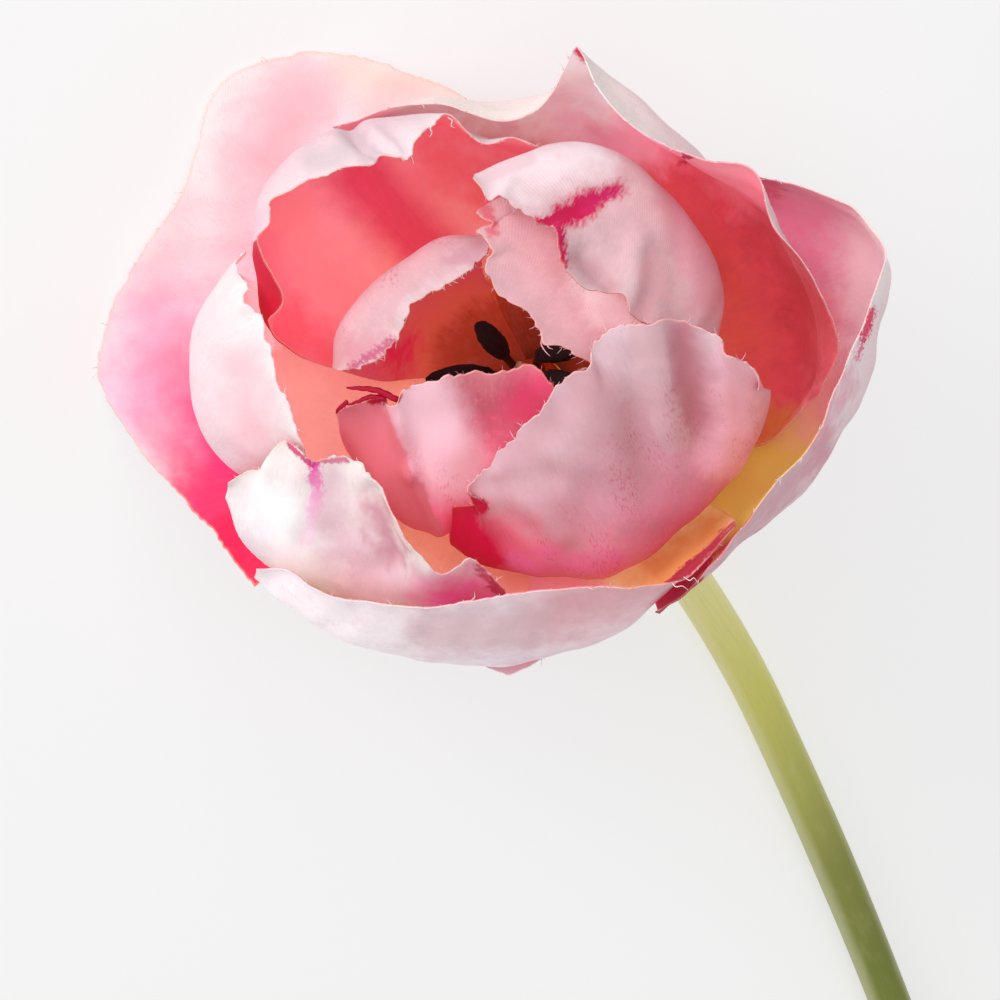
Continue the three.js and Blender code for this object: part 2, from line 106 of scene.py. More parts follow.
class Paint:
    """A value or colour in a material. Arithmetic on it adds the nodes that work it out."""

    def __init__(self, socket):
        self.socket = socket

    def node(self, kind, settings, inputs, out=0):
        tree = self.socket.id_data
        made = tree.nodes.new(kind)
        for key, value in settings.items():
            if key == "stops":
                ramp = made.color_ramp
                while len(ramp.elements) < len(value):
                    ramp.elements.new(0.5)
                for element, (place, colour) in zip(ramp.elements, value):
                    element.position = place
                    element.color = colour
            else:
                setattr(made, key, value)
        for key, value in inputs.items():
            if isinstance(value, Paint):
                tree.links.new(value.socket, made.inputs[key])
            else:
                made.inputs[key].default_value = value
        return Paint(made.outputs[out])

    def math(self, operation, first, second=0.0, clamp=False):
        settings = {"operation": operation, "use_clamp": clamp}
        return self.node("ShaderNodeMath", settings, {0: first, 1: second})

    def vector(self, operation, first, second, out=0):
        settings = {"operation": operation}
        return self.node("ShaderNodeVectorMath", settings, {0: first, 1: second}, out)

    def __add__(self, other):
        return self.math("ADD", self, other)

    def __sub__(self, other):
        return self.math("SUBTRACT", self, other)

    def __rsub__(self, other):
        return self.math("SUBTRACT", other, self)

    def __mul__(self, other):
        return self.math("MULTIPLY", self, other)

    def __truediv__(self, other):
        return self.math("DIVIDE", self, other)

    __radd__ = __add__
    __rmul__ = __mul__

    def wave(self, length):
        """A sine of this many units a turn."""
        return self.math("SINE", self * (2 * np.pi / length))

    def step(self, low, high):
        """0 below low, 1 above high, and smooth between them. low may be the larger."""
        settings = {"interpolation_type": "SMOOTHSTEP"}
        limits = {0: self, 1: low, 2: high, 3: 0.0, 4: 1.0}
        return self.node("ShaderNodeMapRange", settings, limits)

    def ramp(self, stops):
        """A colour for this value, from stops of a place and a colour."""
        return self.node("ShaderNodeValToRGB", {"stops": stops}, {0: self})

    def split(self):
        made = self.node("ShaderNodeSeparateXYZ", {}, {0: self}).socket.node
        return [Paint(made.outputs[k]) for k in range(3)]

    def stretch(self, x, y, z):
        return self.vector("MULTIPLY", self, (x, y, z))

    def noise(self, scale, detail, roughness, colour=False):
        inputs = {"Vector": self, "Scale": scale, "Detail": detail, "Roughness": roughness}
        return self.node("ShaderNodeTexNoise", {}, inputs, int(colour))

    def mixed(self, other, share, blend="MIX"):
        settings = {"data_type": "RGBA", "blend_type": blend, "clamp_factor": True}
        return self.node("ShaderNodeMix", settings, {0: share, 6: self, 7: other}, 2)


def dye(code):
    """A colour from its six hexadecimal digits."""
    values = [int(code[k:k + 2], 16) / 255 for k in (0, 2, 4)]
    return (*(v / 12.92 if v <= 0.04045 else ((v + 0.055) / 1.055) ** 2.4 for v in values), 1.0)


def dyes(stops):
    return [(place, dye(code)) for place, code in stops]


def new_material(name, constants):
    """A material and its Principled shader, with what is the same all over the surface."""
    material = bpy.data.materials.new(name)
    material.use_nodes = True
    shader = material.node_tree.nodes["Principled BSDF"]
    for socket, value in constants.items():
        shader.inputs[socket].default_value = value
    return material, shader


def attribute(material, name):
    """What a piece's points hold under this name, as the first Paint of a material."""
    node = material.node_tree.nodes.new("ShaderNodeAttribute")
    node.attribute_name = name
    return Paint(node.outputs["Vector"])


def finish_shader(material, shader, colour, roughness, height=None, depth=0.0):
    """Links what changes over the surface. height, from 0 to 1, is that of a bump depth mm deep."""
    links = material.node_tree.links
    links.new(colour.socket, shader.inputs["Base Color"])
    links.new(roughness.socket, shader.inputs["Roughness"])
    if height is not None:
        inputs = {"Strength": 1.0, "Distance": depth / 1000, "Height": height}
        links.new(height.node("ShaderNodeBump", {}, inputs).socket, shader.inputs["Normal"])


def new_piece(name, points, faces, material, attributes, node):
    """A smooth mesh from points in metres, which stands for a CAD node."""
    mesh = bpy.data.meshes.new(name)
    mesh.from_pydata(np.asarray(points).tolist(), [], faces)
    mesh.polygons.foreach_set("use_smooth", [True] * len(mesh.polygons))
    for key, values in attributes.items():
        made = mesh.attributes.new(key, "FLOAT_VECTOR", "POINT")
        made.data.foreach_set("vector", np.asarray(values, np.float32).ravel())
    mesh.materials.append(material)
    mesh.update()
    piece = bpy.data.objects.new(name, mesh)
    bpy.context.scene.collection.objects.link(piece)
    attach(piece, "root")
    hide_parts(node)


def skin_faces(rings, sides):
    """Faces of a closed skin over rings of points, with an end cap on the first and last."""
    faces = []
    for r in range(rings - 1):
        for k in range(sides):
            a, b = r * sides + k, r * sides + (k + 1) % sides
            faces.append((a, b, b + sides, a + sides))
    faces.append(tuple(range(sides))[::-1])
    faces.append(tuple((rings - 1) * sides + k for k in range(sides)))
    return faces


def travel_along(line):
    """The length of a line up to each of its points."""
    return np.concatenate([[0], np.cumsum(np.linalg.norm(np.diff(line, axis=0), axis=1))])


stem_flat = np.radians(STEM_FLAT_ANGLE)
stem_lift = STEM_RADIUS * np.cos(stem_flat)
stem_start = around_axis(0, 0, STEM_TOP)
stem_end = TOUCHDOWN + table_up * (stem_lift - BASE_HEIGHT - TOUCHDOWN @ table_up)
hold = np.linalg.norm(stem_end - stem_start) / 3
t = np.linspace(0, 1, NECK_STEPS + 1)[:, None]
neck = ((1 - t) ** 3 * stem_start + 3 * t * (1 - t) ** 2 * (stem_start - bloom_axis * hold)
        + 3 * t ** 2 * (1 - t) * (stem_end - stem_away * hold) + t ** 3 * stem_end)
turned = np.linspace(0, STEM_ON_TABLE / STEM_BOW_RADIUS, LYING_STEPS + 1)[1:, None]
lying = (stem_end + stem_away * STEM_BOW_RADIUS * np.sin(turned)
         + np.cross(stem_away, table_up) * STEM_BOW_RADIUS * (1 - np.cos(turned)))
centres = np.vstack([neck, lying])
along = unit(np.gradient(centres, axis=0))
along[0] = -bloom_axis
up = unit(table_up - along * (along @ table_up)[:, None])
side = np.cross(up, along)
angles = stem_flat + (2 * np.pi - 2 * stem_flat) * np.arange(STEM_SIDES) / (STEM_SIDES - 1)
angles = angles - np.pi / 2
pressed = np.sin(angles) < -0.9
travel = travel_along(centres)
stem_points, stem_place = [], []
for i, centre in enumerate(centres):
    lump = (1 + STEM_LUMP * np.sin(travel[i] / STEM_LUMP_LENGTH + 2 * np.cos(angles))
            + STEM_RIPPLE * np.sin(travel[i] / STEM_RIPPLE_LENGTH))
    thick = STEM_RADIUS * np.where(pressed, 1, lump)
    rise = thick * np.sin(angles)
    ring = centre + np.outer(thick * np.cos(angles), side[i]) + np.outer(rise, up[i])
    if i == len(centres) - 1:
        ring = ring - np.outer(SCAR_SLANT * rise, along[i])
    stem_points.append(ring)
    far = np.full(STEM_SIDES, travel[i])
    stem_place.append(np.column_stack([angles, far, far / travel[-1]]))
stem_points = to_table(np.vstack(stem_points))
stem_points[:, 2] = np.maximum(stem_points[:, 2], 0)

# pale and yellow under the bloom, greener further down, with a light line along each side
STEM_GREENS = [
    (0.0, "f8f4c0"), (0.1, "f4f0b0"), (0.142, "f0ec9f"), (0.196, "d8d672"),
    (0.243, "b9b962"), (0.294, "8e9248"), (0.35, "7a8238"), (1.0, "76803e"),
]
material, shader = new_material("stem_skin", {
    "Specular IOR Level": 0.35, "Subsurface Weight": 0.15,
    "Subsurface Radius": (1.0, 1.0, 0.4), "Subsurface Scale": 0.0015})
place = attribute(material, "stem_place")
angle, _, share = place.split()
fibres = place.stretch(2.2, 0.05, 0).noise(3.0, 4.0, 0.6)
blotches = place.stretch(1.0, 0.14, 0).noise(1.4, 3.0, 0.55)
sides = angle.math("ABSOLUTE", angle.math("COSINE", angle)).step(0.5, 1.0)
skin = share.ramp(dyes(STEM_GREENS))
skin = skin.mixed(dye("f4f2d0"), sides * 0.3)
skin = skin.mixed(dye("8f9a4c"), fibres.step(0.42, 0.8) * 0.12)
skin = skin.mixed(dye("f0ecb8"), blotches.step(0.5, 0.75) * 0.08)
finish_shader(material, shader, skin, 0.5 + 0.2 * fibres, fibres + blotches * 0.5, 0.06)
new_piece("stem_stalk", stem_points, skin_faces(len(centres), STEM_SIDES), material,
          {"stem_place": np.vstack(stem_place)}, "stem")

# ---- receptacle ----
# The swollen top of the stalk, where the petals and the stamens are fixed, and the short post
# that carries them up the middle of the bloom.
POST_SIDES = 36
POST_RINGS = 60


def smooth_line(points, shares, checks=200):
    """Smooth lines through rows of points, at the given shares of their length.
    points is (lines, points in each, 3) and shares is the same for each line."""
    points = np.asarray(points, float)
    lines, count = points.shape[:2]
    padded = np.concatenate(
        [2 * points[:, :1] - points[:, 1:2], points, 2 * points[:, -1:] - points[:, -2:-1]], 1)
    rows = np.arange(lines)[:, None]

    def place(t):
        at = np.minimum((t * (count - 1)).astype(int), count - 2)
        w = (t * (count - 1) - at)[..., None]
        p = [padded[rows, at + k] for k in range(4)]
        d = [np.sqrt(np.linalg.norm(p[k + 1] - p[k], axis=-1, keepdims=True)) for k in range(3)]
        d = [np.maximum(x, 1e-4) for x in d]
        slope = [
            ((p[k + 1] - p[k]) / d[k] - (p[k + 2] - p[k]) / (d[k] + d[k + 1])
             + (p[k + 2] - p[k + 1]) / d[k + 1]) * d[1]
            for k in range(2)
        ]
        return (
            p[1] + slope[0] * w
            + (3 * (p[2] - p[1]) - 2 * slope[0] - slope[1]) * w ** 2
            + (2 * (p[1] - p[2]) + slope[0] + slope[1]) * w ** 3
        )

    t = np.broadcast_to(np.linspace(0, 1, checks + 1), (lines, checks + 1))
    steps = np.linalg.norm(np.diff(place(t), axis=1), axis=-1)
    length = np.concatenate([np.zeros((lines, 1)), np.cumsum(steps, 1)], 1)
    wanted = [np.interp(np.asarray(shares) * far[-1], far, t[0]) for far in length]
    return place(np.array(wanted))


turns = np.arange(POST_SIDES) * 360 / POST_SIDES
line = smooth_line([[(r, h, 0) for r, h in RECEPTACLE_PROFILE]], np.linspace(0, 1, POST_RINGS))[0]
points = np.vstack([around_axis(turns, r, h) for r, h, _ in line])
material, shader = new_material("receptacle_skin", {})
place = attribute(material, "bloom_place")
height = place.vector("DOT_PRODUCT", place, tuple(bloom_axis), 1)
grain = place.noise(1.2, 4.0, 0.6)
skin = ((height + 4) / 15).ramp(dyes(
    [(0.0, "c9cb80"), (0.25, "cfc671"), (0.5, "d9a24a"), (1.0, "c46a2c")]))
skin = skin.mixed(dye("a9a34c"), grain.step(0.45, 0.75) * 0.5)
finish_shader(material, shader, skin, 0.55 + 0.2 * grain, grain, 0.15)
new_piece("receptacle_post", to_table(points), skin_faces(POST_RINGS, POST_SIDES), material,
          {"bloom_place": points}, "receptacle")

# ---- outer petals ----
# Broad cupped sheets of fine woven cloth, about 0.4 mm thick, dyed by hand and set to shape by
# heat. Each is fixed to the post by its narrow root, and its rim is cut ragged and frays a little.
CLOTH_THICKNESS = 0.4
RIM_THINNING = 0.5  # share of the thickness that is gone at the rim
PRESSED_THICKNESS = 0.3  # least thickness where a petal lies on the table
ROOT_RADIUS = 3.4  # where a petal starts, clear of the post
FIRST_ROOT = 1.0  # height of the lowest petals on the post
ROOT_STEP = 1.35  # from one layer of petals to the next
FLOOR_RADIUS = 10.5
FLOOR_RISE = 1.6  # of the lowest layer's floor, from the root
FLOOR_STEEPER = 0.55  # more rise for each layer further in
RIM_CELL = 0.27  # width of a strip of faces at the rim
RIB_STEPS = 50
NOTCH_BLUR = 4  # length of rim over which a notch is ironed out of the cloth below it
NOTCH_REACH = 3.5  # how far from the rim a notch still bends the cloth
TOOTH_REACH = 1.2  # the same for the small teeth of the cut
SWELLS = (11.0, 0.20), (5.0, 0.10)  # size and height of the dents and swells
WEAVE = 0.46  # from one diagonal rib of the cloth to the next
THREAD_SIDES = 3
THREAD_RADII = 0.05, 0.042, 0.03, 0.015
THREAD_SHARES = -0.15, 0.4, 0.75, 1.0  # places along a thread, which starts inside the rim
SHRED_STEPS = 14
SHRED_SIDES = 5
SHRED_FLATNESS = 0.45
STROKE_WIDTH = 1.5  # a wash no wider than this is a stroke of dye, which keeps to the rim
STROKE_WANDER = 1.5  # how far its middle strays
CLOUD_WANDER = 5  # the same for a soft cloud of dye
THIN_WASH = 2.5  # a wash thinner than this has a firm middle
THIN_FIRM = 0.25
SPRAYED_FIRM = 0.1
SPRAY = 2.4  # how unevenly a sprayed wash ends
BLEED = 0.8  # the same for a brushed one


def soft_noise(x, cell, rng):
    """A smooth random line along x, from about -1 to 1, that turns once in each cell."""
    x = np.asarray(x, float) / cell
    values = rng.uniform(-1, 1, int(np.max(x)) + 3)
    low = np.floor(x).astype(int)
    w = x - low
    w = w * w * (3 - 2 * w)
    return values[low] * (1 - w) + values[low + 1] * w


def smoothed(line, cells):
    """A line with its small turns ironed out over this many cells on each side. Its ends stay."""
    weights = np.exp(-np.linspace(-2, 2, 2 * cells + 1) ** 2)
    weights /= weights.sum()
    before = 2 * line[0] - line[cells:0:-1]
    after = 2 * line[-1] - line[-2:-cells - 2:-1]
    padded = np.vstack([before, line, after])
    return np.stack([np.convolve(padded[:, k], weights, "valid") for k in range(3)], 1)


def line_distance(points, start, stop):
    """Distance of points from a line between two points, seen from the front of the bloom."""
    start, stop = np.array(start, float), np.array(stop, float)
    way = stop - start
    flat = points[..., :2] - start
    t = np.clip(flat @ way / max(way @ way, 1e-9), 0, 1)
    return np.linalg.norm(flat - t[..., None] * way, axis=-1)


def sheet_normals(sheet):
    across, along = np.gradient(sheet, axis=0), np.gradient(sheet, axis=1)
    return unit(np.cross(across, along))


def travel_from_root(sheet):
    """The length of each rib of a sheet up to each of its points."""
    steps = np.linalg.norm(np.diff(sheet, axis=1), axis=-1)
    return np.concatenate([np.zeros((len(sheet), 1)), np.cumsum(steps, 1)], 1)


def cloth_sheet(petal):
    """The middle of a petal's cloth: a grid of ribs side by side, each from root to rim."""
    layer, (first, last) = petal["layer"], petal["spread"]
    root_height = FIRST_ROOT + ROOT_STEP * layer
    floor_height = root_height + FLOOR_RISE + FLOOR_STEEPER * layer
    rim = smooth_line([petal["rows"][-1]], np.linspace(0, 1, 200))[0]
    u = np.linspace(0, 1, int(travel_along(rim)[-1] / RIM_CELL) + 1)
    degrees = first + (last - first) * u
    controls = [around_axis(degrees, ROOT_RADIUS, np.full_like(u, root_height)),
                around_axis(degrees, FLOOR_RADIUS, np.full_like(u, floor_height))]
    controls += [smooth_line([row], u)[0] for row in petal["rows"]]

    # the ribs run to a smooth rim, and the notches of the cut are added near it
    cut = controls[-1]
    controls[-1] = smoothed(cut, int(NOTCH_BLUR / RIM_CELL))
    v = 1 - (1 - np.linspace(0, 1, RIB_STEPS)) ** 1.5  # closer together towards the rim
    sheet = smooth_line(np.stack(controls, 1), v)
    fade = np.exp(-(travel_from_root(sheet[:, ::-1])[:, ::-1] / NOTCH_REACH) ** 2)
    sheet = sheet + (cut - controls[-1])[:, None] * fade[..., None]
    normal = sheet_normals(sheet)
    across = travel_along(sheet[:, -1])
    reached = travel_from_root(sheet)
    from_rim = reached[:, -1:] - reached

    # the dents and swells of heat-set cloth
    rng = np.random.default_rng(petal["seed"])
    swell = np.zeros(sheet.shape[:2])
    for size, height in SWELLS:
        for _ in range(4):
            way, turn = rng.uniform(0, 2 * np.pi, 2)
            line = across[:, None] * np.cos(way) + reached * np.sin(way)
            wave = size * rng.uniform(0.8, 1.8)
            swell += height / 2 * np.sin(line * 2 * np.pi / wave + turn)
    swell *= np.clip(reached / 15, 0, 1)
    for start, stop, width, height in petal["folds"]:
        swell += height * np.exp(-(line_distance(sheet, start, stop) / width) ** 2)
    sheet = sheet + normal * swell[..., None]

    # the ragged rim, which is cut finer on the petals further in
    outward = unit(sheet[:, -1] - sheet[:, -3])
    coarse = 0.6 * np.sin(37 * u + petal["seed"]) + 0.4 * np.sin(83 * u + 2.3 * petal["seed"])
    fine = 0.26 * soft_noise(across, 3.4, rng) + 0.20 * soft_noise(across, 1.5, rng)
    fringe = 0.45 * soft_noise(across, 0.6, rng)
    fine = fine + fringe * np.clip(soft_noise(across, 9, rng) + 0.7, 0, 1)
    tooth = 0.4 * petal["ragged"] * coarse + (0.8 if layer > 1 else 0.4) * fine
    teeth = tooth[:, None] * np.exp(-from_rim / TOOTH_REACH)
    return sheet + outward[:, None] * teeth[..., None], v, across, reached, from_rim


def loose_threads(sheet, normal, count, rng):
    """Fine threads that stand out of a cut rim, each as rings of points."""
    points = []
    for _ in range(count):
        i = rng.integers(2, len(sheet) - 2)
        root = sheet[i, -1]
        out = unit(sheet[i, -1] - sheet[i, -4])
        side = unit(sheet[i + 1, -1] - sheet[i - 1, -1])
        way = unit(out + side * rng.uniform(-1.1, 1.1) + normal[i, -1] * rng.uniform(-0.7, 0.7))
        bend = unit(side * rng.uniform(-1, 1) + normal[i, -1] * rng.uniform(-1, 1))
        length = rng.uniform(0.3, 1.0) ** 1.6
        for share, thick in zip(THREAD_SHARES, THREAD_RADII):
            spine = root + way * length * share + bend * length * 0.35 * max(share, 0) ** 2
            below = thick - BASE_HEIGHT - spine @ table_up
            spine = spine + table_up * max(below, 0)
            for m in range(THREAD_SIDES):
                a = 2 * np.pi * m / THREAD_SIDES
                points.append(spine + thick * (np.cos(a) * side + np.sin(a) * normal[i, -1]))
    return points


def shred(path, thick):
    """A twisted end of torn cloth along a path, thinning to its tip, as rings of points."""
    spine = smooth_line([path], np.linspace(0, 1, SHRED_STEPS))[0]
    along = unit(np.gradient(spine, axis=0))
    side = unit(np.cross(along, [0.2, 0.3, 1]))
    up = np.cross(side, along)
    points = []
    for k in range(SHRED_STEPS):
        size = thick * (1 - 0.7 * (k / (SHRED_STEPS - 1)) ** 3)
        for m in range(SHRED_SIDES):
            a = 2 * np.pi * m / SHRED_SIDES + 0.5 * k
            turn = np.cos(a) * side[k] + SHRED_FLATNESS * np.sin(a) * up[k]
            points.append(spine[k] + size * turn)
    return points


def cloth_dye_and_painted_light(petal):
    """The material of one petal: both faces coloured from root to rim, then washes of dye and of
    painted shade and highlights, and a painted glow.
    """
    material, shader = new_material(petal["name"] + "_cloth", {
        "Specular IOR Level": 0.25, "Sheen Weight": 0.06, "Sheen Roughness": 0.5,
        "Emission Strength": 1.0})
    cloth, reach, bloom = (attribute(material, k) for k in ("cloth", "reach", "bloom_place"))
    across, along, outside = cloth.split()
    share, edge, _ = reach.split()
    face = outside.step(0.35, 0.65)
    mottle = bloom.noise(0.55, 2.0, 0.55)
    streaks = cloth.stretch(1.0, 0.09, 0).noise(1.6, 1.0, 0.5)
    grain = cloth.stretch(1.0, 0.4, 0).noise(2.4, 2.0, 0.7)
    wavy = share + (mottle - 0.5) * 0.12 + (streaks - 0.5) * 0.06
    colour = wavy.ramp(dyes(petal["inner"])).mixed(wavy.ramp(dyes(petal["outer"])), face)
    shade = mottle * 0.5 + grain * 0.5
    colour = colour.mixed(dye("b08090"), shade.step(0.45, 0.75) * 0.2)
    colour = colour.mixed(dye("fffafa"), shade.step(0.5, 0.25) * 0.12 * face)

    # washes of colour: most are dye, some are painted shade and some painted highlights on folds
    # and creases. Given are the colour, strength and width of each and the line that it follows, as
    # seen from the front, then for some the share of its width that is firm, or that it is sprayed
    # on
    drift = bloom.noise(0.35, 2.0, 0.6, colour=True)
    drift = drift.vector("SUBTRACT", drift, (0.5, 0.5, 0.5))
    washes = [(1 - face, wash) for wash in petal["inner_washes"]]
    washes += [(face, wash) for wash in petal["outer_washes"]]
    for on_face, (code, strength, width, start, stop, *finish) in washes:
        sprayed = finish == ["sprayed"]
        if sprayed:
            firm = SPRAYED_FIRM
        elif finish:
            firm = finish[0]
        else:
            firm = THIN_FIRM if width < THIN_WASH else 0
        wander = STROKE_WANDER if finish or width <= STROKE_WIDTH else CLOUD_WANDER
        moved = bloom.vector("ADD", bloom, drift.stretch(wander, wander, 0))
        flat = moved.stretch(1, 1, 0)
        offset = flat.vector("SUBTRACT", flat, (*start, 0))
        way = np.array([*stop, 0], float) - np.array([*start, 0], float)
        passed = offset.vector("DOT_PRODUCT", offset, tuple(way / max(way @ way, 1e-6)), 1)
        passed = passed.math("ADD", passed, 0.0, clamp=True)
        near = passed.node(
            "ShaderNodeVectorMath", {"operation": "SCALE"}, {0: tuple(way), 3: passed})
        distance = offset.vector("DISTANCE", offset, near, 1)
        distance = distance + (grain - 0.5) * (SPRAY if sprayed else BLEED)
        mask = distance.step(width, width * firm) * strength * (0.95 + 0.1 * streaks) * on_face
        if width <= STROKE_WIDTH:
            mask = mask * share.step(0.6, 0.72)
        colour = colour.mixed(dye(code), mask)
    if petal["speckle"]:
        code, amount, far = petal["speckle"]
        dots = cloth.stretch(1.0, 0.3, 0).noise(4.2, 2.0, 0.6)
        cloud = cloth.stretch(1.0, 0.3, 0).noise(0.3, 2.0, 0.5).step(0.46, 0.66)
        dots = dots.step(0.52, 0.62) * cloud * share.step(far, far - 0.15) * face * amount
        colour = colour.mixed(dye(code), dots)

    # the cut edge takes the dye, and the ribs of the weave are a little darker between
    at_edge = edge.step(0.28, 0.05) * share.step(0.4, 0.8) * petal["edging"]
    colour = colour.mixed(dye(petal["edge"]), at_edge)
    twill = (across + along).wave(WEAVE)
    colour = colour.mixed(dye("b0405a"), (0.5 - 0.5 * twill) * petal["rib_shade"])

    # painted glow: the cloth gives off light of its own colour, which stands in for light let
    # through the thin cloth, most of it deep in the bloom
    glow = share.ramp([(place, (g, g, g, 1)) for place, g in petal["glow"]])
    glow = glow.mixed((petal["back_glow"],) * 3 + (1,), face)
    glow = glow.mixed(colour, 1.0, "MULTIPLY")
    material.node_tree.links.new(glow.socket, shader.inputs["Emission Color"])
    height = 0.5 + 0.08 * twill + (grain - 0.5) * 0.5
    finish_shader(material, shader, colour, 0.72 + 0.15 * mottle, height, 0.05)
    return material


def frayed_thread(petal):
    """The material of a petal's loose threads and shreds, which take the dye of its rim."""
    material, shader = new_material(petal["name"] + "_frays", {"Specular IOR Level": 0.2})
    place, torn = (attribute(material, k) for k in ("bloom_place", "torn"))
    fibres = place.noise(7.0, 2.0, 0.6)
    rim = petal.get("fray", petal["outer"][-1][1])
    colour = torn.split()[0].ramp(dyes([(0, rim), (1, petal.get("shred", rim))]))
    colour = colour.mixed(dye("8a3048"), fibres.step(0.55, 0.8) * 0.25)
    finish_shader(material, shader, colour, 0.75 + 0.1 * fibres)
    return material


# what a petal has unless its own call says otherwise. glow is the painted light that the cloth
# gives off, going by the share of the way to the rim, and back_glow is the same on its outer face;
# a speckle is a colour, an amount and how far up the petal it reaches
USUAL_PETAL = {
    "threads": 45, "edge": "e9a58a", "edging": 0.3, "rib_shade": 0.03,
    "glow": ((0, 0.22), (0.5, 0.17), (0.85, 0.07), (1, 0)), "back_glow": 0.0,
    "inner_washes": (), "outer_washes": (), "speckle": None, "folds": (), "shreds": (),
}


def make_petal(**own):
    """Makes a petal's cloth and, as a piece of its own, its loose threads and shreds.

    layer counts the petals outside it, spread is its root's angles round the post, and the last of
    its rows is the rim. inner and outer are its faces' colours from root to rim, dye with painted
    shade at the root of some inner faces, and fray and shred the dyes of its torn ends. A fold is
    a line, a width and a height. A shred is the points of its path and its thickness."""
    petal = {**USUAL_PETAL, **own}
    sheet, v, across, reached, from_rim = cloth_sheet(petal)
    normal = sheet_normals(sheet)
    columns, steps = sheet.shape[:2]
    half = CLOTH_THICKNESS / 2 * (1 - RIM_THINNING * v ** 3)[None, :, None]
    index = np.arange(columns * steps).reshape(columns, steps)
    a, b = index[:-1, :-1], index[1:, :-1]
    c, d = index[1:, 1:], index[:-1, 1:]
    outer_faces = np.stack([a, b, c, d], -1).reshape(-1, 4)
    behind = columns * steps
    border = np.concatenate([index[:-1, 0], index[-1, :-1], index[:0:-1, -1], index[0, :0:-1]])
    following = np.roll(border, -1)
    edge_faces = np.stack([following, border, border + behind, following + behind], -1)
    faces = np.vstack([outer_faces, outer_faces[:, ::-1] + behind, edge_faces]).tolist()

    grid_across = np.repeat(across[:, None], steps, 1)
    from_side = np.minimum(grid_across, across[-1] - grid_across) * (0.3 + 0.7 * v)[None]
    edge = np.minimum(from_rim, from_side)
    shares = np.repeat(v[None], columns, 0)
    reach = np.stack([shares, edge, np.zeros_like(edge)], -1).reshape(-1, 3)
    cloth = [np.stack([grid_across, reached, np.full_like(reached, outside)], -1).reshape(-1, 3)
             for outside in (1, 0)]
    bloom = np.concatenate([sheet + normal * half, sheet - normal * half]).reshape(-1, 3)
    points = to_table(bloom)
    least = np.repeat([0, PRESSED_THICKNESS / 1000], behind)
    points[:, 2] = np.maximum(points[:, 2], least)
    name = petal["name"]
    new_piece(name + "_cloth", points, faces, cloth_dye_and_painted_light(petal),
              {"cloth": np.vstack(cloth), "reach": np.tile(reach, (2, 1)), "bloom_place": bloom},
              name)

    rng = np.random.default_rng(100 + petal["seed"])
    threads = loose_threads(sheet, normal, petal["threads"], rng)
    shreds = [shred(path, thick) for *path, thick in petal["shreds"]]
    frays = np.vstack([threads, *shreds])
    torn = np.zeros_like(frays)
    torn[len(threads):] = 1
    tubes = [(len(THREAD_SHARES), THREAD_SIDES)] * petal["threads"]
    tubes += [(SHRED_STEPS, SHRED_SIDES)] * len(shreds)
    faces, base = [], 0
    for rings, sides in tubes:  # their rings run the other way round, so each face is turned
        faces += [tuple(base + k for k in (f[0], *f[:0:-1])) for f in skin_faces(rings, sides)]
        base += rings * sides
    new_piece(name + "_frays", to_table(frays), faces, frayed_thread(petal),
              {"torn": torn, "bloom_place": frays}, name)


make_petal(
    seed=1, name="petal_outer_under", layer=0, spread=(228, 290), ragged=0.4, threads=15,
    # back_glow is painted light that lifts the outer face out of the shade under petal_outer_bottom
    edge="fbe4ea", back_glow=0.3,
    rows=[
        [(-13, -16, 1), (-9, -19.5, 2), (-5, -20.5, 2.5), (-1, -19.5, 2), (3, -16, 1)],
        [(-17, -22, 6), (-13, -27, 10), (-5.5, -30.2, 13), (0, -27.2, 11), (5, -22, 7)],
    ],
    inner=[(0, "f2a44a"), (0.4, "f0808a"), (1, "f6c9d4")],
    outer=[(0, "ecc49a"), (0.3, "f2b4c4"), (0.7, "f8d2dc"), (1, "fdeef2")],
)
make_petal(
    seed=2, name="petal_outer_left", layer=0, spread=(100, 218), ragged=0.35, threads=25,
    fray="f8dccc", edging=0.45, rib_shade=0.07,
    rows=[
        [(-5, 18, 0), (-12, 21, 2), (-20, 20, 2.5), (-26, 13, 1), (-28, 4, 0), (-24, -5, 1),
         (-17, -11, 3)],
        [(-11, 31, 9), (-18, 34.5, 9.5), (-26.5, 35, 8.4), (-33.5, 31.5, 10.5), (-38, 22, 9.5),
         (-43, 14, 6.5), (-46, 5, 2.5), (-43.5, -3, 2), (-36, -10.5, 5), (-30, -16.5, 10)],
        [(-10.5, 35, 14), (-20, 39.3, 13.5), (-30, 40.3, 12.9), (-38, 37, 15), (-42.5, 25, 14),
         (-49, 15.5, 11), (-53, 5, 5.4), (-49.5, -3, 5), (-41, -12.3, 8), (-34.5, -20.3, 14)],
    ],
    inner=[(0, "f8a060"), (0.3, "fa96b0"), (0.6, "fdd0dc"), (1, "f6e0e0")],
    outer=[(0, "e8a05a"), (0.3, "f25a90"), (0.7, "f9b9d0"), (1, "fde3ea")],
    # a stronger painted glow stands in for light through this petal, which lies on the table
    glow=((0, 0.4), (0.5, 0.34), (1, 0.34)),
    inner_washes=[
        ("d8c4b8", 0.7, 8, (-12, 38), (-22, 38)),
        ("eeaab3", 0.7, 8, (-30, 36), (-33, 29)),
        ("f6a1c9", 0.6, 10, (-46, 10), (-48, 2)),
        ("f71671", 0.95, 15, (-38.5, 0), (-37, -8)),
        ("fb3064", 0.95, 10, (-40, -11), (-33, -18)),
        ("ea1547", 0.9, 5, (-38, -15), (-34, -20)),
    ],
)
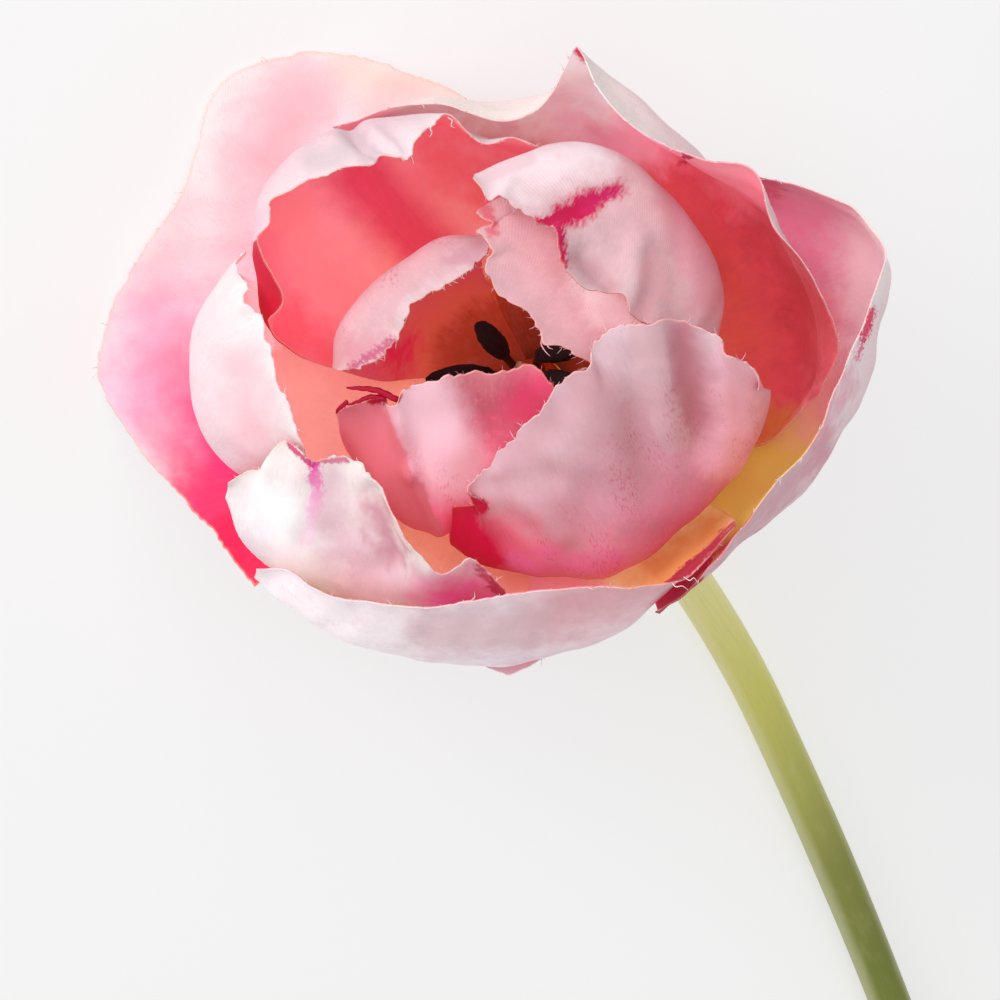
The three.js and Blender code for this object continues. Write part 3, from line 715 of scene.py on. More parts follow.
make_petal(
    seed=3, name="petal_outer_right", layer=0, spread=(-58, 48), ragged=0.35,
    rows=[
        [(11, -22.3, 17), (16.7, -17.2, 18), (24.2, -11.4, 19), (30.8, -3.8, 19), (34.3, 5, 19),
         (36, 12.5, 18), (33, 19, 15), (27, 22.5, 13), (21, 24, 12)],
        [(10.7, -23, 25), (16, -19, 31), (21, -12, 35), (27, -5, 37), (31, 3, 37), (34, 11, 35),
         (36, 17, 31), (32.5, 22, 28.5), (27, 24.5, 26.5), (20.5, 26, 23.5)],
    ],
    inner=[(0, "f0b850"), (0.45, "f78d52"), (0.62, "eb94af"), (0.8, "f0d9eb"), (1, "f7c8d0")],
    outer=[(0, "e8a05a"), (0.3, "f0508a"), (0.55, "f7bccb"), (1, "fff5f7")],
    inner_washes=[
        ("c01848", 0.9, 3, (24, 25), (19.5, 25)),
        ("e6ca5e", 0.9, 6.5, (16, -16), (25, -4), 0.5),
        ("f4b4ac", 0.8, 4, (28, -2), (30, 4)),
        ("f67fa8", 0.6, 7, (22, 24), (30, 22)),
        ("fcdce0", 0.85, 4.5, (34.5, 20), (34.5, 7)),
        ("d12a58", 1.3, 1.3, (11, -23), (20.6, -12.6), 0.5),
    ],
    outer_washes=[
        ("f01860", 1.3, 0.9, (33.7, 7.6), (34.5, 10.3), "sprayed"),
        ("e83474", 0.8, 0.6, (32.9, 5.2), (33.7, 7.6), "sprayed"),
        ("d67c94", 0.6, 3.5, (16, -18), (29, -5)),
        ("e85a8e", 0.5, 3, (28, -3), (31, 3)),
        ("b81440", 1.2, 1.4, (10, -23.5), (15, -19.6), 0.5),
    ],
)
make_petal(
    seed=4, name="petal_outer_bottom", layer=1, spread=(205, 318), ragged=0.35, back_glow=0.13,
    rows=[
        [(-33.5, -19, 17), (-28, -23.7, 17), (-19.2, -27.4, 17), (-9, -28.8, 17), (0, -27.4, 17),
         (7, -24.6, 18), (11.6, -19.2, 18), (15.2, -15.6, 18), (19.1, -12.1, 18)],
        [(-33.9, -18.3, 25.5), (-30.2, -18.9, 28.5), (-26, -20.7, 31), (-17, -22.5, 34),
         (-8, -21.3, 35.5), (2, -20, 36), (8.5, -20.2, 34.5), (14.2, -18.8, 31.5),
         (19.5, -13.2, 28.5)],
    ],
    inner=[(0, "f9c867"), (0.45, "ffeab5"), (0.7, "fde48b"), (1, "f5b4c2")],
    outer=[(0, "e8a05a"), (0.3, "f0708e"), (0.5, "fff4ff"), (0.8, "fff3f7"), (1, "fcedf3")],
    inner_washes=[
        ("e47e42", 0.7, 4.5, (11, -19), (17.5, -14)),
        ("b81c44", 1.2, 0.7, (12, -20.4), (20.5, -12.7), 0.4),
        ("ff82c0", 0.7, 6, (-8, -19), (2, -20)),
    ],
    outer_washes=[
        ("dc8d96", 0.75, 9, (1, -22), (14, -18)),
        ("d29ea9", 0.6, 6, (-14, -25), (-4, -25)),
        ("c04868", 0.9, 1.6, (15, -19.5), (20, -13.5)),
    ],
    shreds=[
        ((13.7, -19, 31.8), (14.4, -19.4, 32.4), (14.8, -19.1, 32.6), (15.3, -19.8, 32.2), 0.06),
        ((12.4, -19.6, 32.4), (12.8, -20.1, 33), (13.5, -20, 33), (14.2, -20.5, 32.8), 0.06),
    ],
)
make_petal(
    seed=5, name="petal_outer_top", layer=1, spread=(-6, 122), ragged=0.4, edge="e89aa0",
    rows=[
        [(22, -4.5, 15), (27.3, 2, 17), (27.8, 10.5, 17.5), (23.5, 18.3, 19), (18.8, 23.5, 19.5),
         (13.5, 29.5, 20), (9, 33.5, 20), (3, 35.3, 19.5), (-6, 34, 19), (-14, 34, 18),
         (-22, 29.3, 14)],
        [(29.3, 1.5, 25), (30.8, 7, 28.5), (28.5, 13, 32), (24, 19, 34.5), (21, 25.5, 35.5),
         (15.5, 27, 35), (10.5, 29, 34), (5.5, 33.7, 31.5), (3.6, 36.5, 29), (2, 40, 27),
         (0.3, 37.4, 28), (-0.7, 34.9, 28.5), (-2.2, 33, 29.3), (-4.4, 32, 29.8), (-6.6, 31.7, 30),
         (-10, 32.3, 29.5), (-13.3, 33.6, 28.7), (-16.1, 33.7, 27.5), (-18.9, 33.1, 26),
         (-22.3, 32.3, 24), (-25.5, 31.5, 22)],
    ],
    inner=[(0, "f4b858"), (0.25, "f0905c"), (0.42, "ec6c64"), (0.62, "e04c5e"), (0.85, "ff89a0"),
           (1, "fb9ba9")],
    outer=[(0, "e8a05a"), (0.3, "f0508a"), (0.6, "f7bccb"), (1, "ece1db")],
    glow=((0, 0.2), (0.5, 0.15), (0.8, 0.17), (1, 0.14)),
    inner_washes=[
        ("fffaf3", 0.95, 7.5, (-18, 37), (1, 34)),
        ("ffbad1", 0.85, 7, (3, 33), (8, 30)),
        ("ffffff", 0.95, 6, (1, 40), (4.5, 36)),
        ("d8205c", 0.9, 0.9, (1.6, 40), (3, 39)),
        ("bc2450", 1.1, 0.4, (13.6, 27.5), (17.6, 27.8), 0.3),
        ("c03e4a", 0.9, 5, (24, 20), (29, 12)),
        ("bc3c44", 0.9, 6, (29.5, 15), (30, 0)),
        ("dd9440", 0.95, 5.5, (20, -9), (25.5, -3.5)),
    ],
    outer_washes=[
        # the cream-grey band along the rolled top rim is partly painted shade
        ("e3d8d0", 0.8, 5, (-20, 37), (0, 37)),
        ("e6c4c8", 0.7, 5, (14, 29), (30, 16)),
    ],
)

# ---- middle petals ----
# Four shorter petals of the same cloth inside the outer ones, with paler backs and rolled rims.

make_petal(
    seed=6, name="petal_mid_low", layer=2, spread=(195, 268), ragged=0.6,
    rows=[
        [(-37, -10.5, 18), (-35.5, -15, 19), (-30.5, -19.5, 19), (-23, -23, 18.5), (-13, -25, 18),
         (-4, -24, 17)],
        [(-37.1, -8.7, 24), (-35.4, -7.6, 26), (-33.1, -6.6, 28), (-31.9, -5, 31),
         (-29.8, -4.1, 33), (-28.7, -5, 33.5), (-27.5, -6.3, 33.5), (-25.4, -6.1, 34),
         (-22.4, -6.3, 35), (-20.4, -8.8, 36), (-17.6, -12.7, 37), (-15.6, -15.8, 36.5),
         (-13, -18.5, 35), (-11.6, -17.9, 34), (-9.9, -17.1, 33), (-8.6, -18, 32),
         (-6.3, -20.5, 30)],
    ],
    inner=[(0, "fbb060"), (0.35, "ffceab"), (0.7, "f87a88"), (1, "f8b0bc")],
    outer=[(0, "e8a05a"), (0.35, "f0608a"), (0.55, "f4cadc"), (0.8, "e5c5cf"), (1, "f9efeb")],
    outer_washes=[
        ("f04cb0", 1.0, 1.1, (-27.2, -6.5), (-26.8, -10.5), "sprayed"),
        ("f07cc0", 0.9, 1.4, (-26.9, -10), (-28.2, -15), "sprayed"),
        ("d81c74", 0.9, 0.45, (-30, -4.4), (-27.5, -6.4)),
        ("d81c74", 0.8, 0.45, (-27, -6), (-23.5, -6.2)),
        ("dcb3c1", 0.6, 3.5, (-25.5, -8), (-26, -15)),
        ("ff59ba", 0.9, 6.5, (-6, -22), (-12, -22)),
        ("c01450", 0.9, 1.6, (-8.5, -18), (-5, -21.5)),
        # c77f8e is painted shade in the dent of the first fold below
        ("c77f8e", 0.75, 3.2, (-20.2, -11.5), (-18.5, -16)),
        ("f8ffff", 0.8, 7, (-32, -12), (-29, -19)),
    ],
    folds=[
        ((-21, -10), (-18.8, -17), 1.6, -1.3), ((-17.5, -11), (-14.5, -18), 1.6, 0.6),
        ((-27.5, -7), (-28.5, -15), 1.2, -0.35),
    ],
)
make_petal(
    seed=7, name="petal_mid_left", layer=3, spread=(150, 215), ragged=0.4, edge="f6dde0",
    rows=[
        [(-36, 15, 17), (-39.5, 11.5, 19), (-41.5, 5.5, 20), (-41, -1, 20), (-37, -6.5, 19),
         (-30, -10.5, 17)],
        [(-35, 17.4, 27), (-36.3, 16, 28), (-35.4, 14.3, 29), (-34.6, 13.4, 30), (-35, 11.5, 31),
         (-33.4, 10, 32), (-32.5, 7.2, 33), (-31.4, 2.7, 34), (-29.4, -1.1, 34), (-28.5, -3.9, 33),
         (-28.3, -6.6, 30)],
    ],
    inner=[(0, "fbb060"), (0.35, "ffc0b2"), (0.7, "fbb9b7"), (1, "f8b0b0")],
    outer=[(0, "e8a05a"), (0.35, "f0609a"), (0.55, "f8c3d4"), (0.9, "ecd8db"), (1, "f2e4e5")],
    glow=((0, 0.25), (0.5, 0.28), (1, 0.3)),
    inner_washes=[
        ("fff8ff", 0.95, 4, (-34, 16), (-34, 9)),
    ],
    outer_washes=[
        ("f4b9c4", 0.7, 5, (-35, 4), (-34, -3)),
    ],
    folds=[
        ((-36, 3), (-34, -3), 2.6, -0.5),
    ],
)
make_petal(
    seed=8, name="petal_mid_right", layer=3, spread=(248, 360), ragged=0.5,
    rows=[
        [(-12, -15.5, 20), (-8, -17.7, 20), (0, -19, 20), (5, -19.2, 20), (9.5, -17.2, 20.5),
         (16, -11.6, 21), (20, -7, 21.5), (22.3, -2.5, 22), (23, 2, 22)],
        [(-12, -11.2, 26), (-10.2, -10.8, 28), (-8.5, -10.7, 29), (-10.2, -9.3, 31),
         (-8.8, -8.1, 32), (-7.5, -6.3, 33.5), (-5.7, -4.2, 35), (-3.9, -2.5, 36.5),
         (-1.7, -0.1, 38), (-0.8, 2.1, 39), (1, 3.2, 39.5), (3.2, 4.2, 40), (3.2, 5.9, 40),
         (4.1, 7.5, 40.5), (5.6, 8.6, 41), (8.1, 8.9, 41), (10.6, 8.7, 41), (14.1, 8.4, 40.5),
         (16.6, 7.7, 40), (17.9, 7, 39.5), (18.3, 5.7, 39), (20, 5.2, 38), (21.3, 3.7, 36.5),
         (21.7, 1.6, 34)],
    ],
    inner=[(0, "f6b052"), (0.4, "f08a58"), (0.7, "ee6a78"), (1, "f5a4b4")],
    outer=[(0, "e8a05a"), (0.3, "ea3a72"), (0.45, "ea7d9f"), (0.65, "da99aa"), (0.85, "deb3bc"),
           (1, "f5d4df")],
    inner_washes=[
        ("c81440", 1.2, 2, (-11, -10.9), (-8, -10.9), 0.5),
    ],
    outer_washes=[
        ("ee7890", 0.8, 4, (-6, -14), (-2, -18)),
        ("d30848", 1.1, 6.6, (-13.5, -12), (-9.5, -18), 0.3),
        ("c81440", 1.2, 1.1, (-12, -11.4), (-8.8, -11.3), 0.5),
        ("e66fad", 0.8, 3, (-5, -18), (6, -18)),
        ("ffbed1", 0.8, 5, (19, 3), (19, -6)),
        # bd6c7a is painted shade on the side of the fold turned from the light, ebc2c9 and dcb0ba
        # are paler painted light on its lit side, and c88890 is a greyer middle, partly painted
        # shade
        ("bd6c7a", 0.85, 3.8, (13.1, 8), (15, -1), 0),
        ("ebc2c9", 0.85, 2.3, (9.2, 9.5), (10.1, 2.5), 0.6),
        ("dcb0ba", 0.75, 2.3, (10.1, 2.5), (12.5, -3.5), 0.6),
        ("c88890", 0.5, 5, (4, 2), (8, -6)),
        ("e6adb7", 0.6, 4, (-6, -6), (3, 2)),
    ],
    folds=[
        ((12.3, 9), (15.5, -4), 1.9, -1.3), ((9.5, 9), (11.5, -2), 2.0, 0.5),
        ((18, 7), (18.5, -6), 1.8, 0.5), ((-9, -9), (-1, -8), 1.8, -0.7),
        ((7, 7), (0, -8), 3, 0.35), ((-6.5, -7.5), (0, -14.5), 1.5, 0.7),
        ((-7, -12.5), (-4, -17), 1.5, -0.5),
    ],
    speckle=("c83a66", 0.45, 0.9),
)
make_petal(
    seed=9, name="petal_mid_top", layer=4, spread=(82, 168), ragged=0.6,
    rows=[
        [(3, 24, 13), (-5, 27, 15), (-13, 29.5, 16), (-22, 28, 17), (-28.5, 23, 17),
         (-29, 14, 16.5), (-25.5, 4.5, 15)],
        [(4, 27.8, 20), (-4, 28.9, 24), (-10, 30.5, 27), (-14.5, 32.2, 28.5), (-22, 31.4, 29.5),
         (-29.5, 28.5, 29), (-33.4, 23, 27.5), (-33.8, 15, 25), (-32.8, 10, 23.5),
         (-30.8, 6.6, 21)],
        [(4.6, 28, 24), (0.6, 28.8, 27), (-2.7, 28.8, 29.5), (-5.5, 29.7, 31), (-8.3, 29.1, 32),
         (-10.5, 30.4, 33), (-12.4, 31.8, 34), (-14.1, 30.4, 36), (-15.4, 29.4, 37),
         (-16.7, 26.6, 38), (-18.3, 26.7, 38), (-20, 27.3, 38), (-22.6, 26, 37), (-25.3, 25.5, 37),
         (-28.1, 24.5, 36), (-30.4, 23.3, 35), (-31.9, 22.5, 34), (-32.1, 20.2, 33),
         (-33.7, 18.5, 31), (-33, 16.3, 31), (-31.9, 14.4, 31.5), (-30.7, 11.8, 31),
         (-32.4, 9.3, 28.5)],
    ],
    # the dark brown at the root of the inner face is painted shade deep in the heart of the bloom
    inner=[(0, "a04420"), (0.22, "c05834"), (0.32, "ffb2a3"), (0.55, "f5a0af"), (0.8, "f8748b"),
           (1, "f78e9a")],
    outer=[(0, "e8a05a"), (0.3, "f0609a"), (0.55, "f5b9c8"), (0.85, "e0bec7"), (1, "e5d1d5")],
    glow=((0, 0.25), (0.5, 0.28), (1, 0.24)),
    inner_washes=[
        # the crimson band is dye, darkened in part by painted fold shadow
        ("da305a", 0.85, 6.5, (-22.3, 26), (-13.2, 16.5), 0.15),
        ("e8585c", 0.7, 6, (-14, 28), (-6, 24)),
        ("fc4c60", 0.6, 5, (-30, 9), (-24, 5)),
        ("fb969b", 0.8, 6.5, (-30, 21), (-24, 12)),
    ],
    outer_washes=[
        # the two greyish washes are painted shade in the dents of the folds below
        ("c4acb4", 0.65, 2.0, (-23.6, 30.6), (-21, 27.4), 0.2),
        ("c6b5bc", 0.6, 2.2, (-27.5, 27), (-24.5, 27.5), 0.2),
        ("f0c0d4", 0.6, 2.6, (-34, 21), (-33.6, 19)),
        ("ca0536", 1.5, 3.6, (-33.2, 15), (-31, 7.6), 0.75),
    ],
    folds=[
        ((-23.2, 30.6), (-21.2, 27), 1.2, -1.1), ((-20.4, 29.4), (-17.7, 27.3), 1.1, 0.9),
        ((-28, 30), (-26, 26), 1.6, -0.3),
    ],
    shreds=[
        ((-13.7, 31, 35.5), (-14.3, 30.4, 36.2), (-14.1, 29.9, 36.3), (-14.4, 29.4, 36.2), 0.1),
        ((-12.4, 31.7, 34.4), (-11.9, 31.3, 35), (-12, 30.7, 35.2), (-11.6, 30.5, 35.2), 0.08),
    ],
)

# ---- inner petals ----
# The smallest petals, curled in over the heart of the bloom, with deep marks of dye.

make_petal(
    seed=10, name="petal_inner_bottom", layer=4, spread=(178, 300), ragged=0.35, back_glow=0.12,
    rows=[
        [(-23, -5.5, 19), (-20.8, -10, 19), (-16.5, -13.4, 19.2), (-8, -14, 19), (2, -13, 18.5),
         (8, -10, 17.5)],
        [(-24.9, -0.7, 30), (-23.3, 0, 30.5), (-21, 0.6, 31), (-19, 0.8, 32), (-18.5, 0.4, 34),
         (-17.7, 1.4, 35), (-15.4, 2.5, 35.5), (-13.2, 3, 36), (-11, 3.3, 36), (-8.8, 3.7, 36),
         (-6.6, 3.5, 36), (-4.4, 4.1, 36), (-3.1, 4.4, 36), (-1.7, 3.3, 35.5), (-0.6, 2.2, 35),
         (1.1, 0, 34.5), (4.5, -2.2, 31)],
    ],
    inner=[(0, "f09040"), (0.4, "f08050"), (0.7, "ee6a78"), (1, "f2a0b0")],
    outer=[(0, "e8a05a"), (0.35, "f0647f"), (0.6, "ff79a0"), (0.9, "c45c6d"), (1, "dd8491")],
    outer_washes=[
        # fad0dd is a painted highlight on the lit side of the crease
        ("fad0dd", 0.9, 6, (-15.5, 1), (-12, -7), 0.3),
        ("e54876", 0.85, 4.5, (-1.5, 3.5), (-4, 0)),
        # the darker salmon of db7d8a is painted shade on the flat side of the crease turned from
        # the light
        ("db7d8a", 1.3, 5.6, (-24, -3), (-18, -15.5), 0.85),
        ("b01034", 1.2, 0.9, (-21, 0.9), (-18.2, 0.7), 0.4),
    ],
    folds=[
        ((-18.4, 2), (-16.6, -7), 0.9, 0.9), ((-16.6, -7), (-13.4, -13.5), 0.9, 0.8),
        ((-9.5, 4), (-8, -6), 2.2, -0.4),
    ],
    speckle=("d8407a", 0.4, 0.85),
    shred="b01034",
    shreds=[
        ((-17.9, 0.5, 34.4), (-19.9, 1.5, 34), (-21.5, 1.8, 33.5), (-23.6, 1.9, 33), 0.42),
        ((-19.2, 0.7, 34), (-21, 0.9, 33.2), (-22.3, 0.4, 32.7), (-23.5, 0, 32.3), 0.32),
        ((-23.5, 0.4, 32), (-24.1, -0.1, 31.5), (-24.6, -0.5, 31), (-24.8, -0.9, 30.6), 0.3),
    ],
)
make_petal(
    seed=11, name="petal_inner_top", layer=5, spread=(5, 110), ragged=0.5,
    rows=[
        [(13.5, 3, 16), (15, 10, 16), (12.5, 15.5, 16.5), (9, 19.5, 17), (4.5, 22.3, 18),
         (-1, 23.3, 19), (-6, 23.5, 21)],
        [(17.8, 6, 26), (17.9, 12.8, 29), (15.3, 18.6, 31), (11.8, 23.3, 32), (7.6, 26.9, 33),
         (3, 28.6, 33.5), (-1.5, 28.5, 34), (-5.8, 27, 35), (-9.3, 25.4, 36)],
        [(16, 7.2, 34), (14.3, 7.7, 35.5), (10.9, 8.4, 37.5), (8.7, 9.2, 38.5), (7.2, 10.1, 39),
         (6.5, 11.9, 39.5), (4.5, 12.5, 40), (3, 12.5, 40), (1.6, 13.5, 40.5), (0, 16, 41),
         (-0.5, 18.7, 41), (-2.3, 19.7, 41), (-3.9, 20.6, 40.5), (-5.5, 21.8, 40),
         (-6.6, 22.6, 40), (-7.8, 22.1, 39.5), (-8.8, 23.5, 39), (-9.6, 24.8, 38.5)],
    ],
    inner=[(0, "f09040"), (0.4, "f08050"), (0.7, "ee6a78"), (1, "f2a0b0")],
    outer=[(0, "e8a05a"), (0.3, "ea5080"), (0.5, "ec9aa8"), (0.8, "deafb5"), (1, "d2b0b5")],
    outer_washes=[
        ("ebd7dd", 0.9, 5, (-7, 25), (3, 27.5)),
        ("c40c48", 1.3, 1.1, (-3.2, 19.6), (0, 20.4), "sprayed"),
        ("c80c4c", 1.25, 2.4, (0.3, 20.6), (3, 22), "sprayed"),
        ("cc1c5c", 1.0, 1.7, (3, 22.1), (6.3, 23.6), "sprayed"),
        ("c41450", 1.2, 1.2, (-0.4, 19.5), (0.2, 15.6), "sprayed"),
        ("e28a9c", 0.6, 4, (13, 22), (17, 12)),
        # c48c94 is painted shade in a dent, and f0b4be a painted highlight along a ridge
        ("c48c94", 0.6, 1.8, (2, 15.5), (5.5, 12.8), 0.2),
        ("f0b4be", 0.6, 2.4, (10.5, 15), (9.5, 10)),
        ("deb9c2", 0.7, 1.3, (-8.5, 24.5), (-3.5, 27)),
    ],
    folds=[
        ((-1, 20), (7, 23.5), 1.2, -0.5), ((8.6, 18), (6.8, 10.5), 1.5, 0.8),
        ((2.6, 16), (5.6, 13), 1.3, -0.9), ((12, 16), (14, 8), 1.8, -0.4),
    ],
)
make_petal(
    seed=12, name="petal_inner_left", layer=5, spread=(112, 175), ragged=0.4,
    rows=[
        [(-8.5, 15, 16), (-12.5, 14.5, 17), (-16.5, 12, 17.5), (-19, 8, 17.5), (-20, 3, 17)],
        [(-8.3, 19, 30), (-13.3, 18.2, 30.5), (-18, 15.4, 31), (-22.3, 11.8, 31), (-24.6, 8.2, 30),
         (-25.3, 4.2, 28)],
        [(-7.2, 17.9, 33), (-8.3, 16.4, 34), (-9.9, 15.2, 35), (-12.1, 13.5, 36),
         (-14.3, 12.5, 36.5), (-16.3, 11.1, 37), (-17, 9.5, 37), (-17.6, 7.5, 36),
         (-19.3, 6, 35.5), (-21.9, 4.3, 34), (-24.1, 3.6, 32)],
    ],
    # the dark brown at the root of the inner face is painted shade deep in the heart of the bloom
    inner=[(0, "8c3a1c"), (0.21, "ce593d"), (0.3, "fd7d64"), (0.6, "ff6f88"), (1, "f2a0a8")],
    outer=[(0, "e8a05a"), (0.35, "e84878"), (0.55, "f0a8b6"), (0.95, "d6adb3"), (1, "dbc5c8")],
    inner_washes=[
        ("fd2261", 0.9, 3, (-19, 5.5), (-17, 7)),
    ],
    outer_washes=[
        ("b03a6c", 0.85, 0.9, (-23, 4.1), (-18.4, 7.0), "sprayed"),
        ("c793a2", 0.7, 2.5, (-12, 16), (-8, 17.5)),
        ("cd6b81", 0.45, 3.4, (-23, 6), (-20, 6)),
    ],
    speckle=("b04a74", 0.5, 0.98),
)
make_petal(
    seed=13, name="petal_inner_pale", layer=6, spread=(0, 110), ragged=0.5, fray="e6b0b8",
    # back_glow is painted light that lifts the outer face out of the shade under petal_inner_top's
    # rim
    back_glow=0.16,
    rows=[
        [(9.5, 0.5, 15.5), (11, 8, 17), (8.5, 13.5, 17.5), (4.5, 17.5, 18), (-0.5, 19, 19),
         (-4.5, 19.5, 20.5)],
        [(14, 2, 24), (14.5, 10, 27), (11.5, 16, 28.5), (7, 21, 29.5), (1, 24, 30),
         (-5, 24, 31.5)],
        [(9, 2, 32), (3.5, 4.3, 34), (1.6, 5.5, 35), (0, 6.3, 35.5), (-1.3, 6.8, 36),
         (-2.2, 8.7, 36.5), (-4.4, 10.6, 37), (-6.4, 11.9, 37), (-7.9, 13.7, 37.5),
         (-8.4, 15.3, 37.5), (-7.2, 17, 37), (-8.3, 18.1, 37), (-9.2, 19.1, 36.5),
         (-7.4, 19.9, 36), (-8.9, 20.4, 35.5), (-9.1, 21.5, 35), (-7.4, 22, 34.5)],
    ],
    # the dark brown at the root of the inner face is painted shade deep in the heart of the bloom
    inner=[(0, "7c3018"), (0.16, "a84424"), (0.26, "c84a2a"), (0.6, "f8807a"), (1, "f2a0a8")],
    outer=[(0, "e8a05a"), (0.35, "ee6088"), (0.6, "f0a4ae"), (1, "d3a9b0")],
    outer_washes=[
        ("fff0f4", 0.8, 5, (4, 13), (8, 9)),
        ("cf596b", 0.8, 1.6, (-9, 21.5), (-7.5, 20)),
    ],
    shreds=[
        ((-2.2, 7.8, 36.4), (-1.6, 7.1, 36), (-1.3, 6.3, 36.2), (-0.8, 6.1, 36), 0.12),
        ((-1.9, 7.5, 36.3), (-2.1, 6.7, 36), (-1.6, 5.8, 36), (-1.1, 5.3, 36), 0.1),
    ],
)

# ---- stamens ----
# Six stamens stand in a ring on top of the post: a thin filament, and a fat anther thick with
# dark pollen.
STAMEN_CIRCLE = 1.55
STAMEN_START = 11.45
STAMEN_RISE = 7
STAMENS = [  # angle of the foot, tip
    (150, (-9, 9.2, 25.5)), (50, (2.5, 6.3, 24)), (200, (-14.8, 3, 24.5)),
    (250, (-9.5, -3, 25)), (300, (-2, -3.5, 26)), (350, (4.5, 1, 25)),
]
STAMEN_PROFILE = [(0, 0.6), (0.25, 0.45), (0.4, 0.5), (0.46, 0.95), (0.62, 1.3), (0.8, 1.25),
                  (0.94, 0.85), (1, 0.3)]
STAMEN_SIDES = 20
STAMEN_RINGS = 40
ANTHER_START = 0.43  # share of the length
FURROW_START = 0.45
FURROW_DEPTH = 0.14
ANTHER_GRAIN = 0.07
FILAMENT_GRAIN = 0.02

material, shader = new_material("pollen", {})
place = attribute(material, "bloom_place")
share = attribute(material, "stamen_share").split()[0]
grains = place.noise(5.0, 3.0, 0.7)
pollen = share.ramp(dyes([(0.0, "8a4a1c"), (0.38, "4a2412"), (0.46, "1c0c0a"), (1.0, "180a09")]))
pollen = pollen.mixed(dye("4a2a22"), grains.step(0.55, 0.75) * 0.6)
finish_shader(material, shader, pollen, 0.85 + 0.1 * grains, grains, 0.3)

for number, (degrees, tip) in enumerate(STAMENS):
    rng = np.random.default_rng(40 + number)
    foot = around_axis(degrees, STAMEN_CIRCLE, STAMEN_START)
    knee = foot + bloom_axis * STAMEN_RISE
    t = np.linspace(0, 1, STAMEN_RINGS)[:, None]
    centres = (1 - t) ** 2 * foot + 2 * t * (1 - t) * knee + t ** 2 * np.array(tip)
    travel = travel_along(centres)
    shares = travel / travel[-1]
    radius = np.interp(shares, *zip(*STAMEN_PROFILE))
    along = unit(np.gradient(centres, axis=0))
    side = unit(np.cross(across_up, along))
    up = np.cross(along, side)
    turns = np.arange(STAMEN_SIDES) * 2 * np.pi / STAMEN_SIDES
    points = []
    for i, share in enumerate(shares):
        furrow = 1 - FURROW_DEPTH * (share > FURROW_START) * np.abs(np.sin(turns)) ** 8
        rough = ANTHER_GRAIN if share > ANTHER_START else FILAMENT_GRAIN
        thick = radius[i] * furrow * (1 + rough * rng.uniform(-1, 1, STAMEN_SIDES))
        points.append(centres[i] + np.outer(thick * np.cos(turns), side[i])
                      + np.outer(thick * np.sin(turns), up[i]))
    points = np.vstack(points)
    stamen_share = np.repeat(shares, STAMEN_SIDES)[:, None] * np.ones(3)
    new_piece(f"stamen_{number + 1}_pollen", to_table(points),
              skin_faces(STAMEN_RINGS, STAMEN_SIDES), material,
              {"bloom_place": points, "stamen_share": stamen_share},
              f"stamen_{number + 1}")

# ---- pistil ----
# The short green pistil in the middle of the stamens, with its three-lobed stigma.
PISTIL_LENGTH = 5
PISTIL_PROFILE = [(0, 0.7), (0.6, 0.75), (0.8, 1.0), (1, 0.6)]
PISTIL_SIDES = 24
PISTIL_RINGS = 24
LOBES_START = 0.6  # share of the length
LOBE_DEPTH = 0.3

turns = np.arange(PISTIL_SIDES) * 360 / PISTIL_SIDES
points = []
for share in np.linspace(0, 1, PISTIL_RINGS):
    opened = max(0, (share - LOBES_START) / (1 - LOBES_START))
    lobes = 1 + LOBE_DEPTH * opened * np.cos(np.radians(3 * turns))
    radius = np.interp(share, *zip(*PISTIL_PROFILE)) * lobes
    rise = np.full(PISTIL_SIDES, STAMEN_START + share * PISTIL_LENGTH)
    points.append(around_axis(turns, radius, rise))
points = np.vstack(points)
material, shader = new_material("pistil_skin", {})
place = attribute(material, "bloom_place")
grain = place.noise(2.0, 3.0, 0.6)
height = place.vector("DOT_PRODUCT", place, tuple(bloom_axis), 1)
skin = ((height - STAMEN_START) / PISTIL_LENGTH).ramp(dyes(
    [(0.0, "a8a24a"), (0.7, "c4bb62"), (1.0, "e2d896")]))
skin = skin.mixed(dye("7c7a30"), grain.step(0.5, 0.8) * 0.4)
finish_shader(material, shader, skin, 0.6 + 0.2 * grain, grain, 0.1)
new_piece("pistil_column", to_table(points), skin_faces(PISTIL_RINGS, PISTIL_SIDES), material,
          {"bloom_place": points}, "pistil")

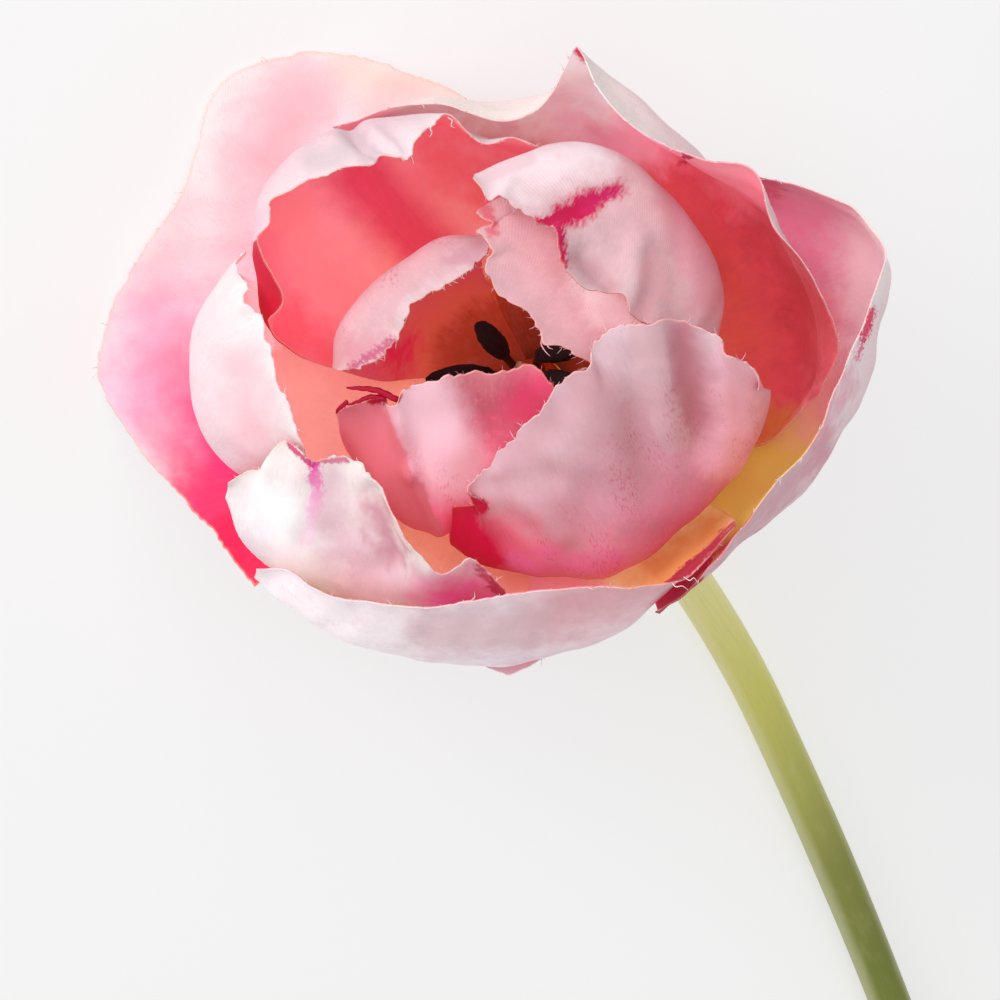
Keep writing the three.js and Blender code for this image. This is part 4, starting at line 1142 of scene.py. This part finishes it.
# ---- table, light and camera ----
# A plain pale table and soft light from the upper left of the bloom. The camera looks straight
# down at the bloom, square to its front.
TABLE_REACH = 3  # metres
TABLE_DROP = 0.0002  # metres below the flower
ROOM_LIGHT = 0.54
LIGHTS_AIM = np.array([-8, 5, 20])
LIGHTS_DISTANCE = 900
CAMERA_PLACE = (-6.63, -10.5, 700)

table = bpy.data.meshes.new("table")
corners = [(x * TABLE_REACH, y * TABLE_REACH, 0) for x, y in ((-1, -1), (1, -1), (1, 1), (-1, 1))]
table.from_pydata(corners, [], [(0, 1, 2, 3)])
table_top = bpy.data.objects.new("table", table)
table_top.location.z = -TABLE_DROP
bpy.context.scene.collection.objects.link(table_top)
material, shader = new_material("table_paint", {
    "Base Color": (0.42, 0.42, 0.42, 1), "Roughness": 0.9, "Specular IOR Level": 0.1,
    "Emission Color": (1, 1, 1, 1), "Emission Strength": 0.545})
table.materials.append(material)

world = bpy.data.worlds.new("studio")
bpy.context.scene.world = world
world.use_nodes = True
world.node_tree.nodes["Background"].inputs["Color"].default_value = (1, 1, 1, 1)
world.node_tree.nodes["Background"].inputs["Strength"].default_value = ROOM_LIGHT
bpy.context.scene.view_settings.view_transform = "Standard"


def soft_box(name, way, power, size):
    """A square light that faces the bloom. way points to it in the bloom's own directions."""
    light = bpy.data.lights.new(name, "AREA")
    light.energy, light.size = power, size / 1000
    lamp = bpy.data.objects.new(name, light)
    bpy.context.scene.collection.objects.link(lamp)
    way = unit(way)
    lamp.rotation_euler = Vector(lay_down @ way).to_track_quat("Z", "Y").to_euler()
    lamp.location = to_table(LIGHTS_AIM + way * LIGHTS_DISTANCE)


soft_box("key", (-0.66, 0.34, 0.88), 4.4, 420)
soft_box("fill", (0.15, 0.1, 1.0), 2.2, 700)

camera = bpy.data.cameras.new("camera")
camera.sensor_width = 36
camera.lens = 217.24
camera.clip_end = 20
viewer = bpy.data.objects.new("camera", camera)
bpy.context.scene.collection.objects.link(viewer)
pose = Matrix(lay_down.tolist()).to_4x4()
pose.translation = to_table(CAMERA_PLACE)
viewer.matrix_world = pose
bpy.context.scene.camera = viewer
